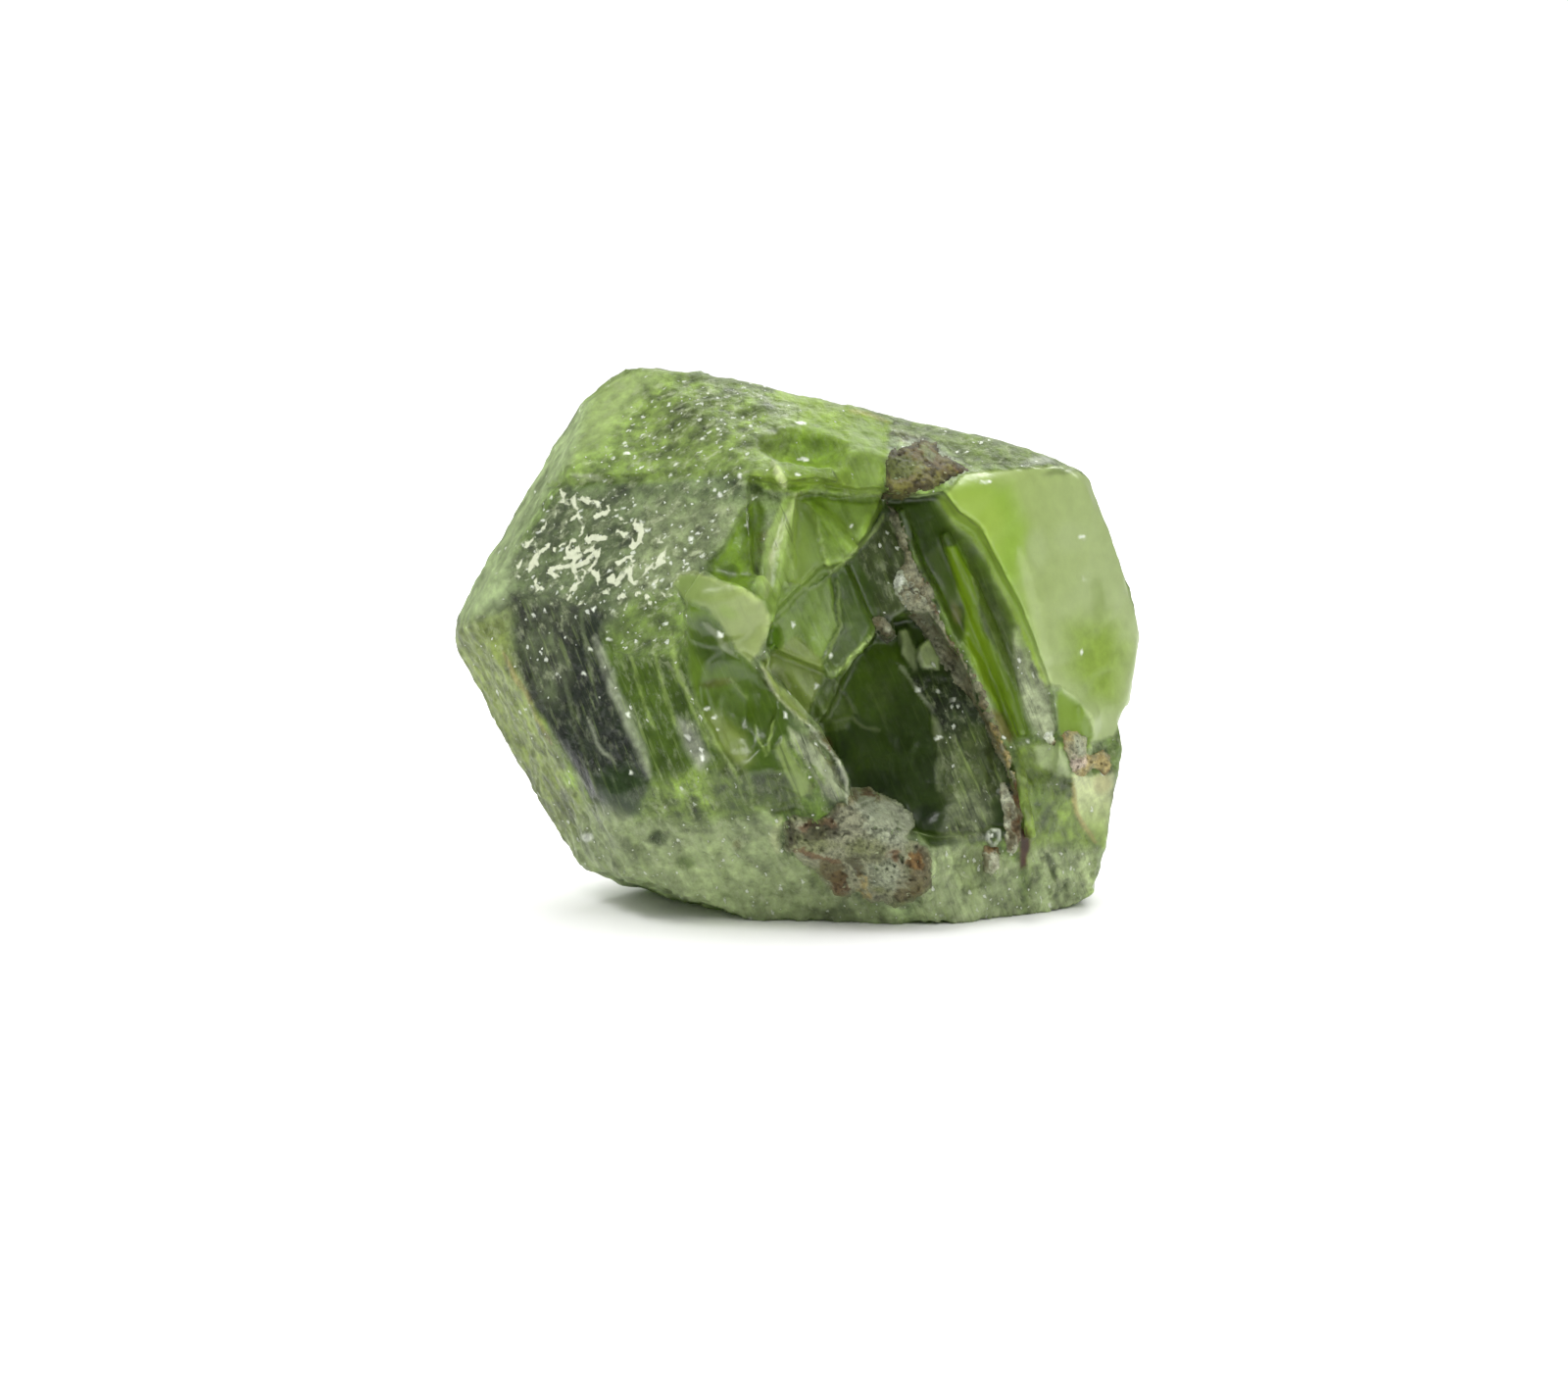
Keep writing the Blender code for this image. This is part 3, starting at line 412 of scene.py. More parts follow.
# Small spots: middle in pixels, half sizes, roll in degrees, colour, strength, and how far each stands proud
SPOTS = [
    ((672, 855), (13, 12), 0, "dark_face", 0.85, -0.10), ((699, 880), (13, 10), 0, "deep_leaf", 0.7, -0.10),
    ((599, 854), (8, 6), 0, "white", 0.8, 0.04), ((752, 862), (7, 7), 0, "rock_brown", 0.5, -0.04),
    ((582, 796), (9, 15), -30, "lime", 0.6, 0.0), ((605, 668), (11, 15), -10, "deep_shade", 0.9, -0.06),
    ((600, 757), (14, 26), -20, "deep_shade", 0.7, -0.04), ((576, 680), (10, 26), -15, "veil", 0.5, 0.0),
    ((733, 697), (24, 6), -8, "rust", 0.35, 0.0), ((743, 625), (14, 9), 30, "lime", 0.45, 0.0),
    ((776, 735), (26, 28), -30, "deep_leaf", 0.6, 0.0), ((776, 634), (12, 16), 0, "milky_shell", 0.6, 0.0),
    ((700, 802), (14, 16), 0, "lime", 0.5, 0.0), ((738, 655), (8, 14), -20, "plate", 0.5, 0.0),
    ((716, 505), (22, 9), 10, "deep_shade", 0.45, 0.0), ((630, 545), (22, 12), 30, "deep_shade", 0.35, 0.0),
    ((764, 540), (9, 18), 20, "deep_leaf", 0.6, -0.04), ((744, 583), (12, 9), 0, "deep_leaf", 0.7, -0.05),
    ((890, 600), (12, 26), 10, "deep", 0.5, 0.0), ((858, 765), (14, 18), 0, "deep_shade", 0.7, 0.0),
    ((900, 800), (34, 20), 15, "deep_shade", 0.6, 0.0), ((946, 830), (14, 14), 0, "deep_shade", 0.8, -0.05),
    ((900, 705), (16, 24), 0, "murk", 0.35, 0.0), ((975, 625), (6, 16), -15, "tan", 0.4, 0.0),
    ((1040, 735), (8, 20), -20, "leaf", 0.6, 0.0), ((1120, 610), (10, 30), -5, "lime_shade", 0.4, 0.0),
    ((1058, 560), (16, 28), 0, "right_milk", 0.6, 0.0), ((1095, 548), (26, 22), 0, "right_milk", 0.5, 0.0),
    ((1110, 600), (16, 26), 0, "right_milk", 0.3, 0.0), ((1060, 814), (12, 22), -10, "leaf", 0.6, 0.0),
    ((1125, 800), (12, 14), 0, "tan", 0.5, 0.0), ((988, 892), (18, 26), -20, "frosted_top", 0.6, 0.0),
    ((1086, 480), (30, 6), -8, "frosted_top", 0.8, 0.02), ((1060, 470), (22, 7), -10, "white", 0.35, 0.0),
    ((600, 487), (24, 5), 8, "cream", 0.5, 0.04), ((850, 415), (30, 8), -12, "frosted_top", 0.4, 0.0),
]

# Painted glints, white spots painted in as highlights: x, y, half length and half width in pixels, and roll in degrees
# clockwise
GLINTS = [
    (817, 432, 9, 3.5, 5), (819, 468, 11, 3.5, 0), (869, 537, 3.5, 9, 8), (735, 505, 3.5, 6, 0), (760, 535, 3.5, 6, 0),
    (705, 550, 5, 4, -40), (699, 562, 3, 5, 0), (734, 647, 4, 6, -30), (720, 724, 6, 6, 30), (729, 731, 4, 6, 20),
    (733, 745, 3, 5, 0), (702, 754, 3.5, 7, -30), (718, 773, 4, 6, -30), (801, 731, 3, 6, -30), (833, 700, 4, 5, 30),
    (829, 654, 6, 3, -45), (811, 700, 4, 4, 0), (848, 669, 3, 5, 0), (958, 706, 4, 4, 0), (973, 714, 5, 4.5, 0),
    (957, 752, 5, 5, 0), (936, 703, 4.5, 8, -30), (1003, 492, 16, 4.5, 0), (948, 569, 6, 3, -20), (815, 485, 5, 3, 20),
    (810, 638, 3, 8, 0), (1105, 548, 5, 5, 0), (1107, 592, 4, 4, 0), (1103, 666, 3, 4, 0), (1047, 757, 5, 3, 10),
    (1070, 750, 9, 5, -35), (622, 652, 5, 3, 0), (606, 622, 5, 3, -10), (640, 730, 3, 6, -25), (644, 789, 3, 5, 0),
    (602, 662, 4, 3, 0), (594, 687, 5, 3, 0), (655, 532, 5, 3, 0), (640, 548, 6, 3, 0), (660, 540, 3, 5, 20),
    (727, 492, 2.5, 6, 0), (755, 485, 3, 6, 0), (677, 611, 3, 5, 10), (668, 599, 3, 5, 10), (662, 466, 4, 3, -20),
    (640, 462, 6, 3, -25), (742, 405, 6, 3, 0), (722, 402, 4, 3, -30), (1012, 852, 4, 5, 0), (978, 838, 3, 4, 0),
]

# Cream crusts on the shoulder: strokes with their half widths, and the area that small ones are scattered over
CREAM_STROKES = [
    ([(572, 500), (578, 507), (588, 512), (595, 507)], 4.0), ([(597, 510), (607, 514), (610, 521), (602, 529)], 5.0),
    ([(614, 510), (626, 500)], 3.0), ([(562, 580), (585, 577), (598, 573), (609, 562)], 3.6),
    ([(540, 583), (548, 568), (556, 560)], 5.5), ([(527, 584), (532, 572)], 3.4), ([(560, 549), (580, 541)], 3.4),
    ([(626, 604), (634, 590), (648, 571)], 4.5), ([(574, 598), (573, 608)], 3.0), ([(586, 603), (590, 592)], 3.0),
    ([(609, 597), (611, 582)], 2.6), ([(592, 548), (597, 536)], 2.6), ([(528, 560), (540, 550)], 2.8),
    ([(552, 543), (558, 532)], 2.8), ([(596, 590), (607, 574), (612, 560)], 2.8), ([(577, 570), (590, 562)], 4.0),
    ([(536, 560), (546, 548)], 2.6), ([(637, 622), (642, 612)], 2.8), ([(656, 590), (668, 574)], 3.0),
    ([(580, 612), (588, 602)], 2.8), ([(570, 558), (580, 552)], 2.6), ([(541, 605), (548, 596)], 2.6),
]
CREAM_AREA = [(522, 588), (530, 556), (560, 520), (578, 500), (618, 498), (650, 520), (690, 560), (700, 600),
              (665, 628), (600, 622), (545, 612)]


def srgb(red, green, blue):
    """A colour as a paint chip gives it, 0 to 255, turned to the linear values that shaders take."""
    channels = np.array((red, green, blue)) / 255.0
    curved = ((channels + 0.055) / 1.055) ** 2.4
    return tuple(float(v) for v in np.where(channels <= 0.04045, channels / 12.92, curved))


def colour_setting(name, red, green, blue):
    """A colour that a user can change."""
    return bpy.props.FloatVectorProperty(
        name=name, description=f"Colour of the {name.lower()}", default=srgb(red, green, blue), subtype="COLOR",
        size=3, min=0.0, max=1.0,
    )


def length_setting(name, description, millimetres):
    """A length that a user can change."""
    return bpy.props.FloatProperty(
        name=name, description=description, default=millimetres * MM, unit="LENGTH", precision=6
    )


class PeridotSizes(bpy.types.PropertyGroup):
    """Sizes of the stone's own relief."""

    fineness: length_setting("Fineness", "Size of the faces that the relief is cut in", 0.085)
    frost_depth: length_setting("Frost depth", "Depth of the etching on the natural faces", 0.05)
    shard_depth: length_setting("Shard depth", "Height of the splinters in the break", 0.16)
    grain_depth: length_setting("Grain depth", "Depth of the fine lines along the grain", 0.06)
    ripple_depth: length_setting("Ripple depth", "Height of the ripples on the smooth break", 0.02)
    cream_height: length_setting("Cream height", "Height of the cream crusts", 0.05)
    rock_fineness: length_setting("Rock fineness", "Size of the faces that the host rock is made in", 0.05)
    rock_grain: length_setting("Rock grain", "Height of the grains in the host rock", 0.14)


class PeridotColours(bpy.types.PropertyGroup):
    """Colours of the crystal, the host rock and the floor."""

    skin: colour_setting("Frosted skin", 110, 140, 48)
    skin_pale: colour_setting("Pale skin", 122, 146, 60)
    pale_band: colour_setting("Pale bands", 144, 162, 112)
    corner_band: colour_setting("Upper corner", 154, 178, 98)
    frosted_top: colour_setting("Frosted top", 140, 158, 96)
    frost: colour_setting("Frost", 188, 198, 156)
    sheen: colour_setting("Grey sheen", 74, 86, 54)
    shoulder: colour_setting("Green shoulder", 118, 144, 58)
    dark_face: colour_setting("Dark face", 30, 48, 12)
    dark_foot: colour_setting("Foot of the dark face", 56, 84, 32)
    # Grey veil: the painted grey sheen on the dark face, used too for the grey streaks and hairlines there
    veil: colour_setting("Grey veil", 84, 96, 62)
    striated: colour_setting("Striated face", 90, 120, 16)
    milky: colour_setting("Milky foot", 140, 154, 108)
    bright: colour_setting("Bright break", 146, 178, 42)
    lime: colour_setting("Lime glow", 152, 186, 66)
    lime_shade: colour_setting("Lime shade", 134, 160, 62)
    shell: colour_setting("Shell-like shards", 156, 180, 96)
    milky_shell: colour_setting("Milky shell", 172, 188, 116)
    pale_shard: colour_setting("Pale shards", 188, 196, 146)
    plate: colour_setting("Grey-green plates", 138, 156, 74)
    olive: colour_setting("Olive plates", 114, 138, 40)
    olive_shade: colour_setting("Olive shade", 80, 100, 28)
    leaf: colour_setting("Leaf-green break", 106, 136, 24)
    deep_leaf: colour_setting("Deep leaf green", 68, 92, 12)
    deep: colour_setting("Deep hollow", 42, 60, 8)
    deep_shade: colour_setting("Deepest shade", 22, 36, 4)
    murk: colour_setting("Murky shards", 80, 94, 44)
    murk_dark: colour_setting("Dark murk", 44, 56, 26)
    murk_pale: colour_setting("Pale murk", 120, 132, 90)
    glow: colour_setting("Glowing edges", 148, 186, 14)
    glow_soft: colour_setting("Soft glow", 178, 210, 82)
    right_face: colour_setting("Smooth right face", 184, 208, 112)
    right_milk: colour_setting("Milky right face", 190, 208, 146)
    # Silvery streaks: grey-white streaks, partly a painted reflection of light
    silver: colour_setting("Silvery streaks", 160, 168, 142)
    silver_strip: colour_setting("Silver strip", 152, 162, 126)
    cream: colour_setting("Cream crusts", 214, 220, 190)
    tan: colour_setting("Tan stains", 164, 148, 92)
    # White flakes, and also the white of the painted glints and painted sparkle highlights on the crystal
    white: colour_setting("White flakes", 226, 232, 216)
    rust: colour_setting("Rust stains", 98, 62, 30)
    brown_green: colour_setting("Brown-green tint", 112, 110, 52)
    rock_grey: colour_setting("Grey host rock", 146, 148, 120)
    rock_green: colour_setting("Green-grey host rock", 124, 130, 88)
    rock_brown: colour_setting("Brown host rock", 94, 82, 48)
    rock_dark: colour_setting("Dark host rock", 52, 46, 28)
    orange: colour_setting("Orange stains", 124, 90, 42)
    pink: colour_setting("Pinkish grains", 208, 192, 176)
    body: colour_setting("Light inside the crystal", 214, 236, 128)
    floor: colour_setting("Studio floor", 250, 250, 250)


# The seen layout is in millimetres, x to the right, y away from the eye and z up

def turn(points, way):
    """Rotates points or directions about X by the angle that the stone leans."""
    cos, sin = math.cos(LEAN_BACK), math.sin(LEAN_BACK) * way
    x, y, z = points.T
    return np.stack((x, y * cos - z * sin, y * sin + z * cos), 1)


def to_seen(world):
    """Points in the row frame, in metres, turned to the seen layout."""
    return turn(np.asarray(world) / MM + FOOT_MIDDLE, 1.0)


def to_world(seen):
    """Points in the seen layout turned back to the row frame, in metres."""
    return (turn(np.asarray(seen), -1.0) - FOOT_MIDDLE) * MM


def to_picture(seen):
    """Where points of the seen layout fall in the picture, in its pixels."""
    offset = np.asarray(seen) - EYE_MM
    scale = LENS / SENSOR * PICTURE[0] / offset[:, 1]
    return np.stack((PICTURE[0] / 2 + offset[:, 0] * scale, PICTURE[1] / 2 - offset[:, 2] * scale), 1)


def sight_lines(pixels):
    """The directions from the eye through pixels of the picture, in the seen layout."""
    across = (pixels[:, 0] - PICTURE[0] / 2) / PICTURE[0] * SENSOR / LENS
    up = (PICTURE[1] / 2 - pixels[:, 1]) / PICTURE[0] * SENSOR / LENS
    return np.stack((across, np.ones(len(pixels)), up), 1)


# Soft shapes and noise

def ease(value):
    """0 below 0, 1 above 1 and smooth between."""
    value = np.clip(value, 0.0, 1.0)
    return value * value * (3.0 - 2.0 * value)


def hashed(cell, seed):
    """A repeatable random number from 0 to 1 for each whole-numbered cell."""
    mixed = (cell[..., 0] * 73856093) ^ (cell[..., 1] * 19349663) ^ (cell[..., 2] * 83492791)
    mixed = mixed ^ (seed * 2654435761)
    mixed = (mixed ^ (mixed >> 13)) * 1274126177 & 0x7FFFFFFF
    return ((mixed ^ (mixed >> 16)) & 0xFFFFFF) / float(0xFFFFFF)


def noise(points, seed=1):
    """Smooth noise from -1 to 1 with features about one unit across."""
    base = np.floor(points).astype(np.int64)
    part = ease(points - base)
    total = np.zeros(len(points))
    for corner in range(8):
        step = np.array((corner & 1, corner >> 1 & 1, corner >> 2 & 1))
        weight = np.prod(np.where(step == 1, part, 1.0 - part), axis=1)
        total += weight * hashed(base + step, seed)
    return total * 2.0 - 1.0


def rough_noise(points, octaves=4, seed=1):
    """Noise with finer and weaker layers on top of each other."""
    total, gain, reach = np.zeros(len(points)), 1.0, 0.0
    for octave in range(octaves):
        total += gain * noise(points * 2.0 ** octave, seed + octave)
        reach += gain
        gain *= 0.55
    return total / reach


def splinters(points, seed):
    """Flat facets at odd slants with sudden steps between them, from about -1 to 1, as a crystal splinters."""
    base = np.floor(points).astype(np.int64)
    nearest = np.full(len(points), 9.0)
    height = np.zeros(len(points))
    for code in range(27):
        cell = base + np.array((code % 3 - 1, code // 3 % 3 - 1, code // 9 - 1))
        offset = points - cell - np.stack([hashed(cell, seed + axis) for axis in range(3)], 1)
        distance = np.einsum("ij,ij->i", offset, offset)
        closer = distance < nearest
        nearest[closer] = distance[closer]
        slant = np.stack([hashed(cell[closer], seed + 3 + axis) for axis in range(3)], 1) * 2.0 - 1.0
        level = hashed(cell[closer], seed + 6) - 0.5
        height[closer] = level + 0.9 * np.einsum("ij,ij->i", slant, offset[closer])
    return height


def path_distance(points, path):
    """The distance from each point to an open path."""
    corners = np.array(path, float)
    best = np.full(len(points), np.inf)
    for first, second in zip(corners, corners[1:]):
        along = second - first
        share = np.clip(((points - first) @ along) / max(along @ along, 1e-9), 0.0, 1.0)
        offset = points - first - share[:, None] * along
        best = np.minimum(best, np.einsum("ij,ij->i", offset, offset))
    return np.sqrt(best)


def edge_distance(points, outline):
    """How far inside a closed outline each point is; below 0 outside it."""
    corners = np.array(outline, float)
    inside = np.zeros(len(points), bool)
    for first, second in zip(corners, np.roll(corners, -1, 0)):
        crosses = (first[1] > points[:, 1]) != (second[1] > points[:, 1])
        rise = second[1] - first[1] if second[1] != first[1] else 1e-9
        at = (second[0] - first[0]) * (points[:, 1] - first[1]) / rise + first[0]
        inside ^= crosses & (points[:, 0] < at)
    distance = path_distance(points, np.vstack((corners, corners[:1])))
    return np.where(inside, distance, -distance)


def near(points, path, margin):
    """The numbers of the points within a margin of a path's own box."""
    corners = np.array(path, float)
    low, high = corners.min(0) - margin, corners.max(0) + margin
    return np.nonzero(((points > low) & (points < high)).all(1))[0]


def area(points, outline, soft):
    """1 inside an outline, 0 outside, with a soft border."""
    share = np.zeros(len(points))
    close = near(points, outline, soft)
    share[close] = ease(0.5 + edge_distance(points[close], outline) / (2.0 * soft))
    return share


def line(points, path, half_width):
    """1 on a path, 0 away from it, thinner towards its ends."""
    share = np.zeros(len(points))
    close = near(points, path, half_width * 1.5)
    ends = np.array((path[0], path[-1]), float)
    reach = np.min(np.linalg.norm(points[close][:, None] - ends, axis=2), axis=1)
    width = half_width * (0.45 + 0.55 * ease(reach / (3.0 * half_width)))
    share[close] = ease(1.35 - path_distance(points[close], path) / width)
    return share


def spot(points, centre, radii, roll=0.0):
    """A soft oval: 1 at its centre, 0 at its rim."""
    share = np.zeros(len(points))
    close = near(points, [centre], max(radii))
    angle = math.radians(roll)
    offset = points[close] - np.array(centre, float)
    across = offset[:, 0] * math.cos(angle) + offset[:, 1] * math.sin(angle)
    down = offset[:, 1] * math.cos(angle) - offset[:, 0] * math.sin(angle)
    share[close] = ease(1.6 - 1.6 * np.hypot(across / radii[0], down / radii[1]))
    return share


def progress(points, outline, direction):
    """How far each point has come across an outline in a direction, from 0 to 1."""
    angle = math.radians(direction)
    way = np.array((math.cos(angle), -math.sin(angle)))
    ends = np.array(outline, float) @ way
    return np.clip((points @ way - ends.min()) / (ends.max() - ends.min()), 0.0, 1.0)


# Meshes as arrays

def keep_in_scene(name, mesh):
    """A new object in the scene for a mesh."""
    obj = bpy.data.objects.new(name, mesh)
    bpy.context.scene.collection.objects.link(obj)
    return obj


def read_points(mesh):
    """A mesh's points as an array."""
    points = np.empty(len(mesh.vertices) * 3, np.float32)
    mesh.vertices.foreach_get("co", points)
    return points.reshape(-1, 3).astype(float)


def read_normals(mesh):
    """A mesh's point normals as an array."""
    normals = np.empty(len(mesh.vertices) * 3, np.float32)
    mesh.vertex_normals.foreach_get("vector", normals)
    return normals.reshape(-1, 3).astype(float)


def read_edges(mesh):
    """The two ends of each edge of a mesh."""
    pairs = np.empty(len(mesh.edges) * 2, np.int32)
    mesh.edges.foreach_get("vertices", pairs)
    return pairs.reshape(-1, 2).T


def write_points(mesh, points):
    """Writes an array back into a mesh's points."""
    mesh.vertices.foreach_set("co", np.asarray(points, np.float32).ravel())
    mesh.update()


def write_value(mesh, name, values):
    """Stores one number a point for the material to read."""
    layer = mesh.attributes.new(name, "FLOAT", "POINT")
    layer.data.foreach_set("value", np.asarray(values, np.float32))


def take_value(mesh, name):
    """Reads one number a point that the mesh stores, and takes it off the mesh."""
    layer = mesh.attributes[name]
    values = np.empty(len(mesh.vertices), np.float32)
    layer.data.foreach_get("value", values)
    mesh.attributes.remove(layer)
    return values.astype(float)


def write_vector(mesh, name, vectors):
    """Stores one place a point for the material to read."""
    layer = mesh.attributes.new(name, "FLOAT_VECTOR", "POINT")
    layer.data.foreach_set("vector", np.asarray(vectors, np.float32).ravel())


def write_colour(mesh, name, colours):
    """Stores one colour a point for the material to read."""
    full = np.concatenate((colours, np.ones((len(colours), 1))), 1)
    layer = mesh.attributes.new(name, "FLOAT_COLOR", "POINT")
    layer.data.foreach_set("color", np.asarray(full, np.float32).ravel())


def neighbour_mean(points, edges):
    """The middle of each point's neighbours."""
    first, second = edges
    count = np.bincount(first, minlength=len(points)) + np.bincount(second, minlength=len(points))
    total = np.zeros_like(points)
    for axis in range(points.shape[1]):
        total[:, axis] += np.bincount(first, points[second, axis], len(points))
        total[:, axis] += np.bincount(second, points[first, axis], len(points))
    return total / np.maximum(count, 1)[:, None]


def soften(mesh, rounds, strength):
    """Moves each point part of the way to the middle of its neighbours."""
    points, edges = read_points(mesh), read_edges(mesh)
    for _ in range(rounds):
        points += strength * (neighbour_mean(points, edges) - points)
    write_points(mesh, points)


def sharpness(mesh, reach):
    """How far each point stands out from the surface round it: above 0 on an edge, below 0 in a crack."""
    points, edges = read_points(mesh), read_edges(mesh)
    smooth = points.copy()
    for _ in range(reach):
        smooth = neighbour_mean(smooth, edges)
    proud = np.einsum("ij,ij->i", points - smooth, read_normals(mesh))[:, None] / MM
    return neighbour_mean(neighbour_mean(proud, edges), edges)[:, 0]


def above_floor(points):
    """The same points with none of them under the floor."""
    points[:, 2] = np.maximum(points[:, 2], 0.0)
    return points


def apply_modifiers(obj):
    """Makes an object's mesh what its modifiers show."""
    graph = bpy.context.evaluated_depsgraph_get()
    result = bpy.data.meshes.new_from_object(obj.evaluated_get(graph))
    obj.modifiers.clear()
    obj.data = result


def even_faces(obj, step):
    """Rebuilds a closed mesh in small faces of one size."""
    remesh = obj.modifiers.new("even faces", "REMESH")
    remesh.mode = "VOXEL"
    remesh.voxel_size = step
    remesh.use_smooth_shade = True
    apply_modifiers(obj)


def fewer_faces(obj, triangles, spare):
    """Thins a mesh out until it has so many triangles, first where it can best spare them."""
    count = sum(len(polygon.vertices) - 2 for polygon in obj.data.polygons)
    if count <= triangles:
        return
    group = obj.vertex_groups.new(name="spare")
    for level in np.unique(spare):
        group.add(np.nonzero(spare == level)[0].tolist(), float(level), "REPLACE")
    decimate = obj.modifiers.new("fewer faces", "DECIMATE")
    decimate.ratio = triangles / count
    decimate.vertex_group = group.name
    decimate.vertex_group_factor = 0.5
    apply_modifiers(obj)
    obj.vertex_groups.clear()


# The crystal

class Surface:
    """Where each point of the crystal lies, in the seen layout and the picture, and how far it faces front."""

    def __init__(self, mesh):
        self.points = read_points(mesh)
        self.normals = read_normals(mesh)
        self.seen = to_seen(self.points)
        self.spots = to_picture(self.seen)
        facing = -turn(self.normals, 1.0)[:, 1]
        self.front = ease((facing + 0.10) / 0.30) * ease((2.5 - self.seen[:, 1]) / 2.5)
        warp = np.stack((rough_noise(self.seen * 1.9, 3, 43), rough_noise(self.seen * 1.9, 3, 47)), 1)
        self.wandered = self.spots + warp * 2.5
        self.quick = warp[:, 0]
        self.slow = rough_noise(self.seen * 0.45, 3, 41)

    def share(self, part):
        """How much each point belongs to a region."""
        return area(self.wandered, part["outline"], part["soft"]) * self.front

    def survey(self, name, start):
        """One number of the regions, laid over the whole crystal."""
        value = np.full(len(self.seen), start)
        for region_name, part in REGIONS.items():
            value += (part[name] - value) * self.shares[region_name]
        return value

    def measure(self):
        """Works out each region's share once, for the surveys."""
        self.shares = {name: self.share(part) for name, part in REGIONS.items()}
        steep = self.survey("grain", -60.0) < GRAIN_PARTING
        rising = np.column_stack((turned(self.seen, RISING_GRAIN), self.seen[:, 1]))
        falling = np.column_stack((turned(self.seen, FALLING_GRAIN), self.seen[:, 1]))
        self.grain = np.where(steep[:, None], falling, rising)
        broken = (1.0 - ease(0.5 + self.slow * 2.4)) * (1.0 - self.front)
        self.frost = self.survey("frost", 1.1) * (1.0 - 0.4 * broken)
        self.shards = self.survey("shards", 0.15) + 0.8 * broken

    def cream(self):
        """Where cream crusts lie on the shoulder: 1 inside one, 0 away from them."""
        share = np.zeros(len(self.seen))
        for path, half_width in CREAM_STROKES:
            share = np.maximum(share, line(self.wandered, path, half_width))
        share *= np.clip(0.85 + 0.9 * noise(self.seen * 4.0, 87), 0.0, 1.0)
        across = np.column_stack((turned(self.seen, 36.0) * (3.6, 4.4), self.seen[:, 1]))
        across += 0.35 * np.stack([noise(across * 1.6, seed) for seed in (81, 83, 85)], 1)
        scatter = rough_noise(across, 2, 53)
        share = np.maximum(share, ease((scatter - 0.01) / 0.35) * area(self.spots, CREAM_AREA, 24.0))
        return share * self.front


def turned(seen, degrees):
    """Places along and across a direction in the seen layout."""
    angle = math.radians(degrees)
    along = seen[:, 0] * math.cos(angle) + seen[:, 2] * math.sin(angle)
    across = seen[:, 2] * math.cos(angle) - seen[:, 0] * math.sin(angle)
    return np.stack((along, across), 1)


def relief(face, sizes):
    """How far each point of the crystal is raised along its normal, in millimetres."""
    etched = rough_noise(face.seen * 2.6, 4, 11) + 0.9 * rough_noise(face.grain * (3.0, 7.0, 5.0), 2, 17)
    etched += 2.2 * rough_noise(face.seen * 0.8, 2, 13)
    height = sizes.frost_depth / MM * etched * face.frost
    broad = splinters(face.grain * (0.55, 1.3, 0.9), 23)
    narrow = splinters(face.grain * (1.3, 3.4, 2.0), 29)
    height += sizes.shard_depth / MM * (0.75 * broad + 0.45 * narrow) * face.shards
    ripple = np.sin(np.hypot(face.seen[:, 0] - 5.0, face.seen[:, 2] - 14.0) * 4.6 + face.slow * 5.0)
    height += sizes.ripple_depth / MM * ripple * ease(1.0 - face.frost * 2.0) * face.front
    lines = rough_noise(face.grain * (0.7, 6.0, 4.0), 3, 31)
    height += sizes.grain_depth / MM * lines * face.survey("lined", 0.25)
    plates = np.zeros(len(height))
    for part in REGIONS.values():
        direction, low, high = part["slope"]
        crisp = area(face.wandered, part["outline"], min(part["soft"], 3.0)) * face.front
        level = low + (high - low) * progress(face.spots, part["outline"], direction) if high or low else 0.0
        plates += (level - plates) * crisp
    height += plates
    for path, half_width, _, _, lift in MARKS:
        height += lift * line(face.wandered, path, half_width) * face.front
    for centre, radii, roll, _, _, lift in SPOTS:
        height += lift * spot(face.wandered, centre, radii, roll) * face.front
    return height + sizes.cream_height / MM * face.cream()


